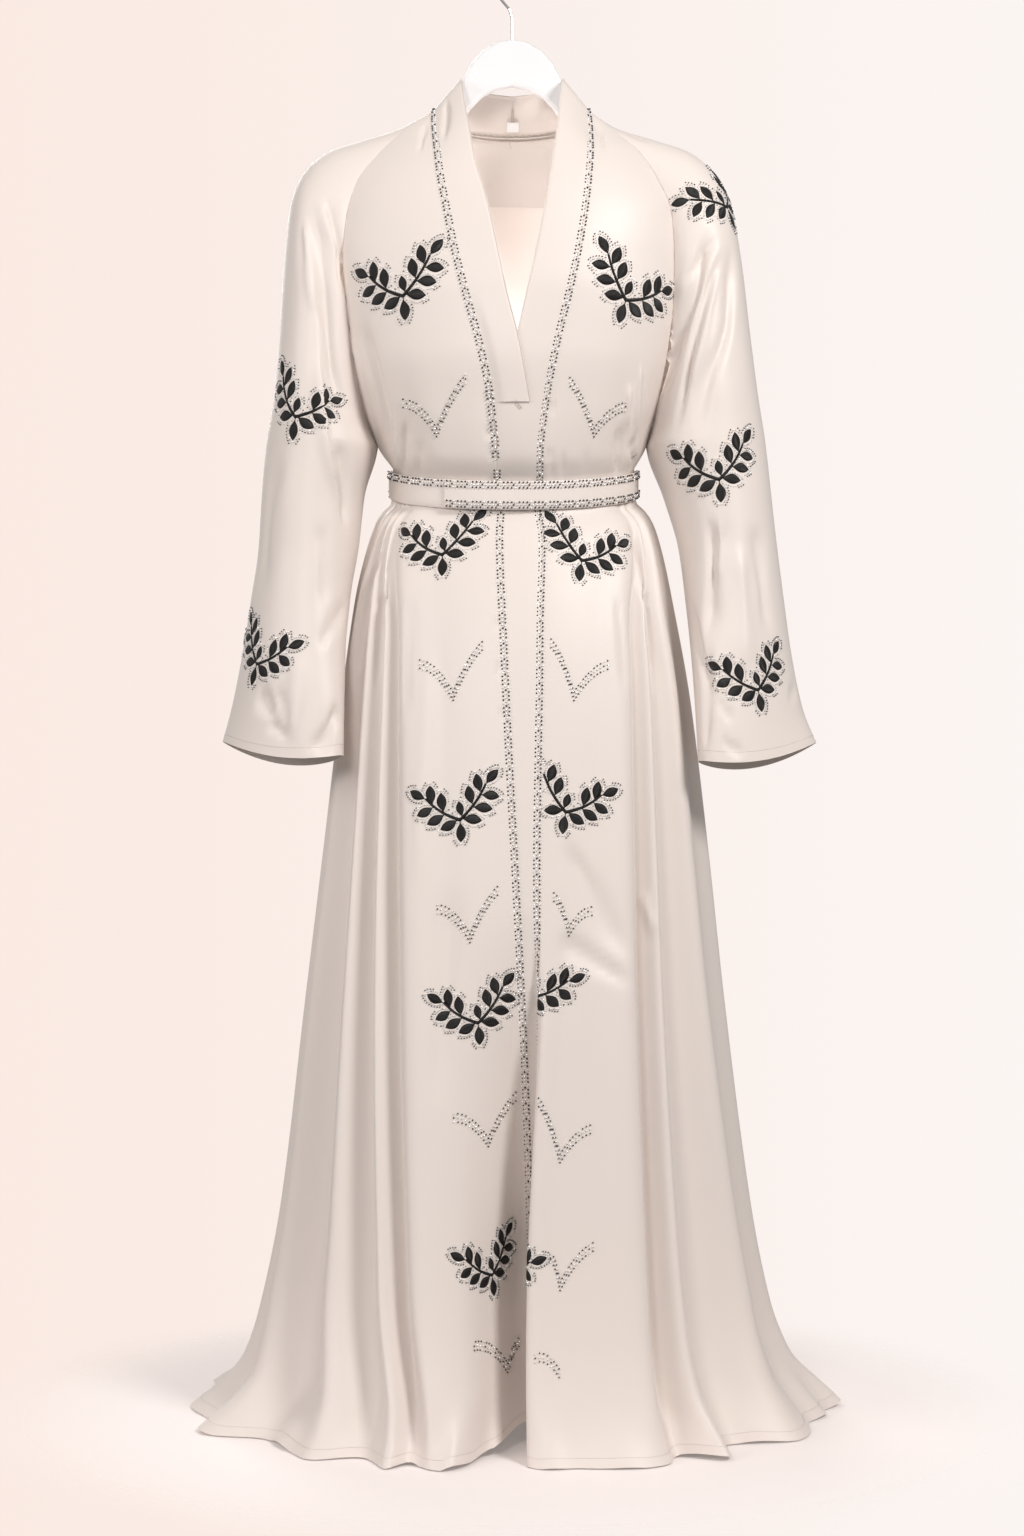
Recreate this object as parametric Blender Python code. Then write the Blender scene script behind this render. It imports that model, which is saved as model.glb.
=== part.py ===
"""An abaya cloak of heavy satin crepe, hanging open-necked and empty on a white hanger.

The cloak is cut like the real one: two fronts and a back from neck to hem, two raglan
sleeves, a neck band in two halves of which the left half runs on as a strip down the
centre front, a wrapped belt, a facing inside the back neck and a small blank label.
Every piece is a thin wall.  Its outer side is worked out as rows of points, from the
tables below, and its inner side is the same rows moved in along the cloth's normals.

Metres, +Z up.  +X is the viewer's right, the front faces -Y, and the origin is the
underside of the hook's crest, where a rail carries the hanger.
"""
import math

import bmesh
import bpy
import numpy as np

MM = 0.001
WALL = 2.0 * MM              # cloth with its seam allowances and its facing
GAP = 0.3 * MM               # between pieces that are sewn or laid together
FLOOR = -1.5560              # the hem just touches it
HEM = FLOOR + 1.5 * MM
STEPS = 3                    # points from one fold line of the skirt to the next
FRONT_POINTS = 16            # across each upper front
BACK_POINTS = 28             # across the upper back
SLEEVE_POINTS = 20           # round a sleeve
BAND_POINTS = 5              # across the neck band

WAIST_DIP = 22 * MM          # the belt hangs lower at the front than at the sides
BELT_TOP = -0.546            # at the sides
BELT_HEIGHT = 30 * MM
BELT_WALL = 2.2 * MM
BELT_EASE = 2.2 * MM          # from the cloth to the belt's inner side
BELT_START, BELT_END = math.radians(100), math.radians(482)
BELT_LEVEL = -0.56           # the height whose ellipse it goes round
BELT_STEPS = 72
LAP_START, LAP_TURN = math.radians(425), math.radians(24)   # where its end steps out
LAP_GAP = 0.5 * MM

# Each pair is the height where a change starts, and the height over which it takes place
DIP_STARTS, DIP_RISE = -0.40, 0.14          # the waist's dip comes in above the belt
DIP_ENDS, DIP_FALL = -0.76, 0.16            # and goes out below it
HEM_LIFT_STARTS, HEM_LIFT_RISE = -1.40, 0.15
GATHER_STARTS, GATHER_RISE = -0.40, 0.13
GATHER_ENDS, GATHER_FALL = -0.540, 0.02
ROUND_STARTS, ROUND_RISE = -0.476, 0.068    # the rows take the belt's ellipse
CUFF_STARTS, CUFF_RISE = -0.74, 0.11
BAND_LIFT_STARTS, BAND_LIFT_RISE = -0.37, 0.05
GATHER_DEPTH = 3 * MM
GATHER_COUNT = 3             # to each side
GATHER_EDGE = 0.5            # share of the row over which they grow to their full depth


class Table:
    """Rows of numbers under named columns, read at any key by a curve without overshoot."""

    def __init__(self, names, rows):
        self.names = names.split()
        self.data = np.array(rows, float)

    def column(self, name):
        return self.data[:, self.names.index(name)]

    def at(self, name, key):
        return smooth(self.data[:, 0], self.column(name), key)


def smooth(keys, values, at):
    """Cubic through the values, level wherever they turn, held beyond both ends."""
    order = np.argsort(keys)
    keys, values = np.asarray(keys, float)[order], np.asarray(values, float)[order]
    step = np.diff(keys)
    slope = np.diff(values) / step
    tangent = np.zeros_like(values)
    same = slope[:-1] * slope[1:] > 0
    first, second = step[:-1] + 2 * step[1:], 2 * step[:-1] + step[1:]
    safe = np.where(same, slope[:-1], 1.0), np.where(same, slope[1:], 1.0)
    mean = (first + second) / (second / safe[0] + first / safe[1])
    tangent[1:-1] = np.where(same, mean, 0.0)
    tangent[0], tangent[-1] = slope[0], slope[-1]
    at = np.clip(np.asarray(at, float), keys[0], keys[-1])
    i = np.clip(np.searchsorted(keys, at) - 1, 0, len(step) - 1)
    t = (at - keys[i]) / step[i]
    a, b = values[i], values[i + 1]
    ta, tb = tangent[i] * step[i], tangent[i + 1] * step[i]
    return (a * (2 * t**3 - 3 * t**2 + 1) + ta * (t**3 - 2 * t**2 + t)
            + b * (3 * t**2 - 2 * t**3) + tb * (t**3 - t**2))


def ease(x):
    x = np.clip(x, 0.0, 1.0)
    return x * x * (3 - 2 * x)


# Half width to the viewer's left and right, and depth to the front and back, by height
SKIRT = Table("z left right front back", [
    (-0.5500, 0.1285, 0.1320, 0.0840, 0.0830),
    (-0.5780, 0.1290, 0.1325, 0.0845, 0.0835),
    (-0.5940, 0.1425, 0.1465, 0.0930, 0.0930),
    (-0.6110, 0.1500, 0.1550, 0.1010, 0.1030),
    (-0.6434, 0.1600, 0.1640, 0.1100, 0.1150),
    (-0.6866, 0.1696, 0.1728, 0.1200, 0.1270),
    (-0.7946, 0.1847, 0.1922, 0.1380, 0.1490),
    (-0.9566, 0.2040, 0.2117, 0.1580, 0.1740),
    (-1.1186, 0.2236, 0.2290, 0.1800, 0.1980),
    (-1.3346, 0.2495, 0.2570, 0.2140, 0.2340),
    (-1.4426, 0.2711, 0.2786, 0.2350, 0.2550),
    (-1.4966, 0.2884, 0.3000, 0.2500, 0.2700),
    (-1.5290, 0.3150, 0.3250, 0.2620, 0.2850),
    (-1.5545, 0.3480, 0.3470, 0.2760, 0.3000),
])

# The fold lines of the skirt, in order round it from the centre strip over the viewer's
# left.  Columns: angle in degrees at five heights (90 is the front, 180 the viewer's
# left, 270 the back), depth in mm of an ordinary fold, depth in mm of the centre pleat,
# and how far the hem is lifted there, in mm.
FOLD_HEIGHTS = (-0.600, -0.730, -1.010, -1.390, -1.554)
FOLDS = Table("waist hip thigh calf hem fold pleat lift", [
    (95.1, 92.9, 88.6, 84.0, 83.0, 0, -116, 18),       # strip, viewer's left edge
    (105.9, 101.5, 97.4, 95.2, 93.5, 0, -62, 8),
    (122.3, 113.9, 107.3, 102.5, 99.0, 0, -18, 0),
    (143.0, 131.6, 122.9, 112.8, 103.5, 2, 0, 0),      # outer edge of the smooth front
    (147.0, 134.0, 125.2, 115.6, 107.5, -22, 0, 0),
    (150.6, 139.0, 131.6, 120.8, 110.8, 2, 0, 0),
    (152.8, 142.5, 135.8, 126.0, 117.0, -26, 0, 0),
    (155.2, 148.6, 142.5, 135.8, 126.0, 3, 0, 0),
    (157.8, 156.0, 150.5, 147.3, 138.2, -30, 0, 0),
    (161.0, 164.5, 162.4, 161.0, 153.0, 4, 0, 0),
    (168.0, 171.5, 171.5, 171.0, 167.0, -14, 0, 0),
    (180.0, 180.0, 180.0, 180.0, 180.0, 0, 0, 0),      # side seam, viewer's left
    (188.0, 188.5, 189.0, 190.0, 191.0, -18, 0, 0),
    (194.0, 197.0, 199.0, 201.0, 202.0, 3, 0, 0),
    (198.0, 203.0, 208.0, 212.0, 214.0, -26, 0, 0),
    (202.0, 210.0, 217.0, 222.0, 226.0, 2, 0, 0),
    (205.0, 216.0, 225.0, 231.0, 236.0, -28, 0, 0),
    (209.0, 222.0, 233.0, 240.0, 245.0, 3, 0, 0),
    (214.0, 229.0, 240.0, 247.0, 252.0, -22, 0, 0),
    (224.0, 238.0, 248.0, 254.0, 259.0, 2, 0, 0),
    (262.0, 265.0, 267.0, 268.0, 269.0, -12, 0, 0),    # trough down the centre back
    (312.0, 300.0, 290.0, 284.0, 279.0, 2, 0, 0),
    (321.0, 309.0, 299.0, 292.0, 288.0, -20, 0, 0),
    (327.0, 317.0, 307.0, 300.0, 296.0, 3, 0, 0),
    (331.0, 323.0, 315.0, 309.0, 306.0, -27, 0, 0),
    (335.0, 330.0, 324.0, 319.0, 316.0, 2, 0, 0),
    (339.0, 337.0, 333.0, 329.0, 327.0, -24, 0, 0),
    (344.0, 345.0, 343.0, 340.0, 339.0, 3, 0, 0),
    (351.0, 352.0, 352.0, 351.0, 350.0, -16, 0, 0),
    (360.0, 360.0, 360.0, 360.0, 360.0, 0, 0, 0),      # side seam, viewer's right
    (373.0, 375.5, 376.0, 375.5, 379.0, -15, 0, 0),
    (380.0, 386.5, 389.0, 386.5, 392.0, 4, 0, 0),
    (383.6, 394.8, 399.4, 403.0, 405.0, -30, 0, 0),
    (386.8, 399.8, 406.7, 411.3, 413.0, 3, 0, 0),
    (390.5, 404.6, 411.6, 416.6, 419.3, -26, 0, 0),
    (394.5, 408.2, 415.0, 419.6, 423.0, 2, 0, 0),      # outer edge of the smooth front
    (413.0, 422.0, 427.0, 430.0, 431.0, 0, -3, 0),
    (427.0, 432.0, 436.0, 438.5, 439.0, 0, -12, 0),
    (433.6, 436.8, 440.8, 446.6, 447.4, 0, -22, 0),    # turned edge of the centre pleat
    (435.6, 438.8, 442.0, 445.4, 445.9, 0, -41, 2),
    (438.1, 440.8, 443.2, 439.6, 439.0, 0, -112, 4),   # strip, viewer's right edge
])
FOLD_GROWTH = Table("z share", [
    (-0.566, 0.03), (-0.600, 0.12), (-0.660, 0.28), (-0.730, 0.40),
    (-1.010, 0.68), (-1.390, 0.95), (-1.554, 1.08),
])
PLEAT_GROWTH = Table("z share", [
    (-0.900, 0.0), (-1.010, 0.02), (-1.100, 0.13), (-1.200, 0.38), (-1.390, 0.80), (-1.554, 1.0),
])
LEFT_SEAM, RIGHT_SEAM = 11, 29
SKIRT_LEVELS = (-0.562, -0.578, -0.600, -0.632, -0.680, -0.750, -0.840, -0.940, -1.050,
                -1.170, -1.290, -1.390, -1.460, -1.510, -1.537, HEM)

# The upper cloak by height: the neck band's seam, the front and back raglan seams and
# the centre back.  Columns ending in _l are the viewer's left.
UPPER = Table("z neck_l neck_r neck_y front_l front_r front_y back_x back_y centre_y full", [
    (-0.1638, -0.0832, 0.0812, -0.021, -0.0848, 0.0838, -0.018, 0.0800, 0.028, 0.058, 0.3),
    (-0.1844, -0.0822, 0.0826, -0.038, -0.1147, 0.1068, -0.026, 0.1070, 0.040, 0.068, 0.3),
    (-0.2114, -0.0794, 0.0828, -0.064, -0.1404, 0.1352, -0.038, 0.1320, 0.049, 0.077, 0.3),
    (-0.2438, -0.0755, 0.0808, -0.085, -0.1640, 0.1552, -0.047, 0.1540, 0.056, 0.085, 0.4),
    (-0.2816, -0.0687, 0.0767, -0.099, -0.1750, 0.1693, -0.053, 0.1680, 0.060, 0.091, 0.5),
    (-0.3248, -0.0605, 0.0699, -0.109, -0.1790, 0.1715, -0.056, 0.1700, 0.061, 0.095, 0.5),
    (-0.3734, -0.0485, 0.0595, -0.115, -0.1755, 0.1709, -0.054, 0.1680, 0.058, 0.096, 0.6),
    (-0.4274, -0.0333, 0.0460, -0.115, -0.1690, 0.1650, -0.045, 0.1630, 0.049, 0.094, 0.7),
    (-0.4760, -0.0213, 0.0350, -0.108, -0.1595, 0.1560, -0.029, 0.1550, 0.032, 0.091, 0.8),
    (-0.5213, -0.0158, 0.0292, -0.098, -0.1447, 0.1447, 0.000, 0.1447, 0.000, 0.087, 0.9),
    (-0.5440, -0.0156, 0.0293, -0.083, -0.1285, 0.1320, 0.000, 0.1290, 0.000, 0.083, 1.0),
])
UPPER_LEVELS = tuple(UPPER.column("z"))
UNDERARM = 9                 # the row where sleeve, front and back meet

# The sleeve's rows on the raglan: its outer edge, and how far each row reaches either
# way from there round its ellipse, in degrees, as the armhole closes to the underarm.
RAGLAN = Table("outer_l outer_r outer_z reach", [
    (-0.0850, 0.0825, -0.1605, 50), (-0.1156, 0.1100, -0.1768, 60),
    (-0.1588, 0.1530, -0.1905, 75), (-0.1955, 0.1890, -0.2025, 90),
    (-0.2225, 0.2160, -0.2243, 105), (-0.2376, 0.2355, -0.2600, 118),
    (-0.2452, 0.2480, -0.3270, 128), (-0.2495, 0.2560, -0.3950, 141),
    (-0.2549, 0.2650, -0.4650, 157), (-0.2657, 0.2745, -0.5280, 180),
])
UNDERARM_DEPTH = 77 * MM     # half the sleeve's depth where it closes
ARM = Table("outer_l outer_z_l inner_l inner_z_l outer_r outer_z_r inner_r inner_z_r half_depth forward turn", [
    (-0.2700, -0.5786, -0.1590, -0.5740, 0.2800, -0.5786, 0.1640, -0.5780, 0.074, 0.002, 0.002),
    (-0.2732, -0.6326, -0.1645, -0.6290, 0.2860, -0.6326, 0.1790, -0.6326, 0.069, 0.008, 0.006),
    (-0.2808, -0.6866, -0.1725, -0.6840, 0.2925, -0.6866, 0.1850, -0.6866, 0.063, 0.018, 0.012),
    (-0.2905, -0.7500, -0.1765, -0.7480, 0.3010, -0.7500, 0.1900, -0.7500, 0.056, 0.032, 0.021),
    (-0.3010, -0.8050, -0.1765, -0.8040, 0.3120, -0.8050, 0.1930, -0.8100, 0.049, 0.045, 0.028),
    (-0.3100, -0.8400, -0.1765, -0.8550, 0.3260, -0.8410, 0.1950, -0.8610, 0.044, 0.052, 0.031),
])
CUFF_SAG = 13 * MM           # the cuff hangs lower at its front and back folds
CUFF_TILT = 4 * MM           # and a little lower at the back
UNDERARM_EASE = 0.6 * MM     # from the side seam to the closed sleeve

# The neck band's free edge, by height, and where it stands up round the neck.
BAND_FRONT = Table("z edge_l edge_r edge_y edge_z", [
    (-0.1638, -0.0536, 0.0535, -0.020, -0.1300), (-0.1844, -0.0502, 0.0510, -0.040, -0.1560),
    (-0.2114, -0.0445, 0.0470, -0.064, -0.1920), (-0.2438, -0.0375, 0.0410, -0.086, -0.2330),
    (-0.2816, -0.0255, 0.0345, -0.103, -0.2760), (-0.3248, -0.0155, 0.0260, -0.114, -0.3230),
    (-0.3734, -0.0050, 0.0150, -0.120, -0.3730), (-0.4274, 0.0088, 0.0020, -0.120, -0.4274),
    (-0.4760, 0.0195, -0.0150, -0.113, -0.4760),
])
BAND_NECK_TOP = Table("share x y z", [          # from the centre back to the front row
    (0.00, 0.0000, 0.044, -0.1316), (0.30, 0.0330, 0.039, -0.1285), (0.55, 0.0500, 0.024, -0.1250),
    (0.80, 0.0560, 0.002, -0.1240), (1.00, 0.0549, -0.012, -0.1268),
])
BAND_END = 0.4900            # the viewer's left band ends this far below the origin
BAND_LIFT = 3.3 * MM         # and lies this far in front of the other
BAND_CROWN = 2.5 * MM
BAND_BOW = 5.5 * MM
BACK_NECK_DROP = 8 * MM      # the neck seam is lower at the centre back
BACK_NECK_REACH = 0.09       # and the back evens out over this height
CROSSED_ROW, CROSSED_OVER = 3, 2     # from this row the halves come onto one bowed sheet
BOW_ROW, BOW_OVER = 7.5, 3.5         # from this row the bow flattens

FACING_REACH = (12, 9, 6, 4)         # columns of the back to each side, by row
FACING_WALL, FACING_GAP, FACING_DROP = 1.0 * MM, 0.6 * MM, 1.0 * MM
LABEL_WIDE, LABEL_HIGH, LABEL_THICK = 13 * MM, 11 * MM, 0.6 * MM
LABEL_UP, LABEL_IN, LABEL_ASIDE = 10 * MM, 1.8 * MM, 1 * MM    # from the neck seam
MEETING_COSINE = 0.35        # pieces that meet more sharply than this keep their own normals
POINTS_A_METRE = 2e4         # two points nearer than a twentieth of a millimetre are one

HOOK_WIRE = 3 * MM
HOOK_RADIUS = 21 * MM        # to the wire's centre line
HOOK_STEM = ((0.0, 0.0), (0.0, 0.012), (0.0, 0.024), (-0.0030, 0.033))   # x, up from its foot
HOOK_TURN = (222, -30)       # the round part, in degrees
HOOK_STEPS = 22
HANGER_THICK = 12 * MM
HANGER_CENTRE = Table("x top low", [
    (0.0000, -0.0818, -0.1325), (0.0170, -0.0850, -0.1360), (0.0324, -0.0945, -0.1440),
    (0.0440, -0.1080, -0.1560), (0.0545, -0.1290, -0.1710),
])
HANGER_CLEAR = 0.9 * MM      # under the cloth's inner side
HANGER_SLOPE = 1.05          # a wall's height on the shoulder's slope, over its thickness
HANGER_ARM = (0.072, 0.0880, 0.1100, 0.1350, 0.1600, 0.1850)
HANGER_NECK, HANGER_NECK_TOP = 0.08, -0.1530    # inside this, the arm's top is level
HANGER_ARM_HEIGHT = 26 * MM
HANGER_ROOT, HANGER_ROOT_X, HANGER_ROOT_RUN = 10 * MM, 0.07, 0.12    # the arm is deeper at its root
HANGER_TIP = 0.2050
HANGER_TIP_STEP, HANGER_TIP_DROP, HANGER_TIP_HEIGHT = 5 * MM, 12.5 * MM, 18 * MM
HANGER_ROUNDING = 3.5 * MM


def unit(vectors):
    return vectors / np.maximum(np.linalg.norm(vectors, axis=-1, keepdims=True), 1e-12)


def waist_dip(level):
    """How far the cloth round the belt hangs lower at the front, by height."""
    above = ease((DIP_STARTS - level) / DIP_RISE)
    below = ease((level - DIP_ENDS) / DIP_FALL)
    return WAIST_DIP * above * below


def skirt_ring(level, steps):
    """One closed row round the skirt: a smooth curve through the fold lines at this height."""
    angles = [smooth(FOLD_HEIGHTS, row[:5], level) for row in FOLDS.data]
    angle = np.radians(np.array(angles))
    cos, sin = np.cos(angle), np.sin(angle)
    wide = np.where(cos > 0, SKIRT.at("right", level), SKIRT.at("left", level))
    deep = np.where(sin > 0, SKIRT.at("front", level), SKIRT.at("back", level))
    out = (FOLDS.column("fold") * FOLD_GROWTH.at("share", level)
           + FOLDS.column("pleat") * PLEAT_GROWTH.at("share", level)) * MM
    normal = unit(np.stack([cos / wide, -sin / deep], axis=-1))
    plan = np.stack([wide * cos, -deep * sin], axis=-1) + normal * out[:, None]
    lift = FOLDS.column("lift") * MM * ease((HEM_LIFT_STARTS - level) / HEM_LIFT_RISE)
    height = level + lift - waist_dip(level) * np.maximum(sin, 0)
    knots = np.column_stack([plan, height])
    return curve_through(knots, steps)


def curve_through(knots, steps):
    """A closed Catmull-Rom curve whose tangents allow for uneven spacing."""
    ahead = np.roll(knots, -1, axis=0) - knots
    length = np.linalg.norm(ahead[:, :2], axis=1)[:, None]
    behind, behind_length = np.roll(ahead, 1, axis=0), np.roll(length, 1, axis=0)
    tangent = (ahead / length * behind_length + behind / behind_length * length) / (length + behind_length)
    t = (np.arange(steps) / steps)[None, :, None]
    a, b = knots[:, None], np.roll(knots, -1, axis=0)[:, None]
    ta, tb = (tangent * length)[:, None], (np.roll(tangent, -1, axis=0) * length)[:, None]
    curve = (a * (2 * t**3 - 3 * t**2 + 1) + ta * (t**3 - 2 * t**2 + t)
             + b * (3 * t**2 - 2 * t**3) + tb * (t**3 - t**2))
    return curve.reshape(-1, 3)


def skirt_rows(first, last):
    """The skirt's rows between two fold lines, which may run on past the last line."""
    rows = []
    for level in SKIRT_LEVELS:
        ring = skirt_ring(level, STEPS)
        index = np.arange(first * STEPS, last * STEPS + 1) % len(ring)
        rows.append(ring[index])
    return rows


def gathers(share, level):
    """Small gathers that open upwards from the belt, deepest towards the side seam."""
    near = ease((GATHER_STARTS - level) / GATHER_RISE) * (1 - ease((GATHER_ENDS - level) / GATHER_FALL))
    wave = 0.5 - 0.5 * np.cos(2 * np.pi * GATHER_COUNT * share)
    return -GATHER_DEPTH * near * ease(share / GATHER_EDGE) * wave


def front_row(k, side):
    """A row across an upper front, from the neck band's seam to the raglan or side seam.

    It blends a straight run with a quarter turn, and near the waist it becomes an arc of
    the same ellipse that the belt goes round.
    """
    row = dict(zip(UPPER.names, UPPER.data[k]))
    u = np.linspace(0, 1, min(FRONT_POINTS, 1 + 5 * k) + 1)
    full, neck, seam = row["full"], row["neck" + side], row["front" + side]
    across = (1 - full) * u + full * np.sin(u * np.pi / 2)
    behind = (1 - full) * (1 - u) + full * np.cos(u * np.pi / 2)
    turn = math.acos(neck / seam)
    round_share = ease((ROUND_STARTS - row["z"]) / ROUND_RISE)
    x = neck + (seam - neck) * across
    x += (seam * np.cos(turn * (1 - u)) - x) * round_share
    behind += (np.sin(turn * (1 - u)) / math.sin(turn) - behind) * round_share
    y = row["front_y"] + (row["neck_y"] - row["front_y"]) * behind - gathers(u, row["z"])
    z = row["z"] - waist_dip(row["z"]) * behind
    return np.column_stack([x, y, z])


def back_row(k):
    """A row across the upper back, from the viewer's left to the right."""
    row = dict(zip(UPPER.names, UPPER.data[k]))
    u = np.linspace(-1, 1, BACK_POINTS + 1)
    full = row["full"]
    left = row["front_l"] if k >= UNDERARM else -row["back_x"]
    right = row["front_r"] if k >= UNDERARM else row["back_x"]
    reach = np.where(u < 0, -left, right)
    x = reach * ((1 - full) * u + full * np.sin(u * np.pi / 2))
    rise = (1 - full) * (1 - u**2) + full * np.cos(u * np.pi / 2)
    y = row["back_y"] + (row["centre_y"] - row["back_y"]) * rise + gathers(np.abs(u), row["z"])
    drop = BACK_NECK_DROP * (1 - ease((UPPER_LEVELS[0] - row["z"]) / BACK_NECK_REACH))
    return np.column_stack([x, y, row["z"] - drop * (1 - u**2)])


def sleeve_rows(side):
    """Rows round a sleeve, each from the front seam over the outside to the back seam.

    A row is part of an ellipse.  On the raglan it is open between the two
    seams, and the opening closes towards the underarm, below which the row is a full turn.
    """
    sign = -1 if side == "_l" else 1
    rows = []
    for k in range(UNDERARM + 1):
        upper = dict(zip(UPPER.names, UPPER.data[k]))
        front = np.array([upper["front" + side], upper["front_y"], upper["z"]])
        back = np.array([sign * upper["back_x"], upper["back_y"], upper["z"]])
        if k == UNDERARM:
            front[0] = back[0] = sign * (abs(front[0]) + UNDERARM_EASE)
        middle = (front + back) / 2
        outer = np.array([RAGLAN.column("outer" + side)[k], middle[1], RAGLAN.column("outer_z")[k]])
        reach = math.radians(RAGLAN.column("reach")[k])
        along = (outer - middle) / (1 - math.cos(reach))
        across = (back - front) / 2 / math.sin(reach)
        if k == UNDERARM:
            across = np.array([0, UNDERARM_DEPTH, 0])
        t = np.linspace(-reach, reach, SLEEVE_POINTS + 1)[:, None]
        rows.append(outer - along + along * np.cos(t) + across * np.sin(t))
    for values in ARM.data:
        row = dict(zip(ARM.names, values))
        outer = np.array([row["outer" + side], row["turn"] - row["forward"], row["outer_z" + side]])
        inner = np.array([row["inner" + side], -row["turn"] - row["forward"], row["inner_z" + side]])
        t = np.linspace(-math.pi, math.pi, SLEEVE_POINTS + 1)[:, None]
        centre, along = (outer + inner) / 2, (outer - inner) / 2
        ring = centre + along * np.cos(t) + np.array([0, row["half_depth"], 0]) * np.sin(t)
        low = ease((CUFF_STARTS - centre[2]) / CUFF_RISE)
        ring[:, 2] -= low * (CUFF_SAG * np.sin(t[:, 0])**2 + CUFF_TILT * np.sin(t[:, 0]))
        rows.append(ring)
    return rows if side == "_l" else [row[::-1] for row in rows]


def band_rows(side, sleeve):
    """The neck band's rows from the centre back to the crossing, seam edge to free edge."""
    sign = -1 if side == "_l" else 1
    half = BACK_POINTS // 2
    back = back_row(0)[half::-1] if side == "_l" else back_row(0)[half:]
    shoulder = sleeve[0][::-1] if side == "_l" else sleeve[0]
    seam = np.array([*back[::2], *shoulder[2::2]])
    run = np.concatenate([[0], np.cumsum(np.linalg.norm(np.diff(seam, axis=0), axis=1))])
    share = run / run[-1]
    edge = np.column_stack([sign * BAND_NECK_TOP.at("x", share), BAND_NECK_TOP.at("y", share),
                            BAND_NECK_TOP.at("z", share)])
    u = np.linspace(0, 1, BAND_POINTS + 1)[:, None]
    rows = [start + (end - start) * u for start, end in zip(seam, edge)]
    for row in rows:
        row[:, 1] -= BAND_CROWN * 2 * (u * (1 - u))[:, 0]
    for k, values in enumerate(BAND_FRONT.data):
        front = dict(zip(BAND_FRONT.names, values))
        end = np.array([front["edge" + side], front["edge_y"], front["edge_z"]])
        rows.append(band_front_row(k, side, end))
    return rows


def band_front_row(k, side, end):
    """A row across the band at the front: low down, both halves lie on one bowed sheet."""
    upper = dict(zip(UPPER.names, UPPER.data[k]))
    start = np.array([upper["neck" + side], upper["neck_y"], upper["z"]])
    u = np.linspace(0, 1, BAND_POINTS + 1)[:, None]
    row = start + (end - start) * u
    middle = (upper["neck_l"] + upper["neck_r"]) / 2
    reach = (upper["neck_r"] - upper["neck_l"]) / 2
    bow = BAND_BOW * (1 - ease((k - BOW_ROW) / BOW_OVER))
    bowed = upper["neck_y"] - bow * (1 - ((row[:, 0] - middle) / reach)**2)
    lower = ease((k - CROSSED_ROW) / CROSSED_OVER)
    row[:, 1] += (bowed - row[:, 1]) * lower - BAND_CROWN * 2 * (u * (1 - u))[:, 0] * (1 - lower)
    row[:, 2] -= waist_dip(upper["z"])
    return row


def faces_between(first, second, start_a, start_b):
    """Triangles that join two rows of points, which may differ in number."""
    a, b, faces = 0, 0, []
    last_a, last_b = len(first) - 1, len(second) - 1
    while a < last_a or b < last_b:
        step_a = a < last_a and (b == last_b or (a + 1) * last_b <= (b + 1) * last_a)
        if step_a:
            faces.append((start_a + a, start_a + a + 1, start_b + b))
            a += 1
        else:
            faces.append((start_a + a, start_b + b + 1, start_b + b))
            b += 1
    return faces


class Sheet:
    """One cut piece: rows of points over its outer side, top row first."""

    def __init__(self, rows, wall=WALL):
        self.rows = [np.array(row) for row in rows]
        self.wall = wall
        self.starts = np.concatenate([[0], np.cumsum([len(row) for row in self.rows])])
        self.points = np.concatenate(self.rows)
        self.faces = []
        for k in range(len(self.rows) - 1):
            self.faces += faces_between(self.rows[k], self.rows[k + 1], self.starts[k], self.starts[k + 1])
        self.normals = self.own_normals()

    def own_normals(self):
        corners = self.points[np.array(self.faces)]
        face = np.cross(corners[:, 1] - corners[:, 0], corners[:, 2] - corners[:, 0])
        total = np.zeros_like(self.points)
        for corner in range(3):
            np.add.at(total, np.array(self.faces)[:, corner], face)
        return unit(total)

    def drawn_in(self, amount):
        """The points with every border moved in a little, for the gaps at the seams."""
        moved = self.points.copy()
        for k, row in enumerate(self.rows):
            start, count = self.starts[k], len(row)
            moved[start] += amount * unit(row[1] - row[0])
            moved[start + count - 1] += amount * unit(row[-2] - row[-1])
        for k, inward in ((0, 1), (len(self.rows) - 1, -1)):
            here, there = self.rows[k], self.rows[k + inward]
            pick = np.round(np.linspace(0, len(there) - 1, len(here))).astype(int)
            moved[self.starts[k]:self.starts[k] + len(here)] += amount * unit(there[pick] - here)
        return moved

    def border(self):
        """The indices round the piece's border, in the direction of its faces."""
        top = list(range(self.starts[0], self.starts[1]))
        bottom = list(range(self.starts[-2], self.starts[-1]))
        right = [self.starts[k + 1] - 1 for k in range(1, len(self.rows) - 1)]
        left = [self.starts[k] for k in range(1, len(self.rows) - 1)]
        return top + right + bottom[::-1] + left[::-1]

    def solid(self, name, material):
        outer = self.drawn_in(GAP / 2)
        inner = outer - self.normals * self.wall
        count = len(outer)
        faces = [tuple(face) for face in self.faces]
        faces += [(a + count, c + count, b + count) for a, b, c in self.faces]
        loop = self.border()
        for here, there in zip(loop, loop[1:] + loop[:1]):
            # Both walls of a seam are split along the same diagonal, so they stay parallel
            if np.dot(outer[here] - outer[there], (0.3, 0.1, 1.0)) > 0:
                faces.append((there, here, here + count))
                faces.append((there, here + count, there + count))
            else:
                faces.append((there, here, there + count))
                faces.append((here, here + count, there + count))
        return add_object(name, np.concatenate([outer, inner]), faces, material)


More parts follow.
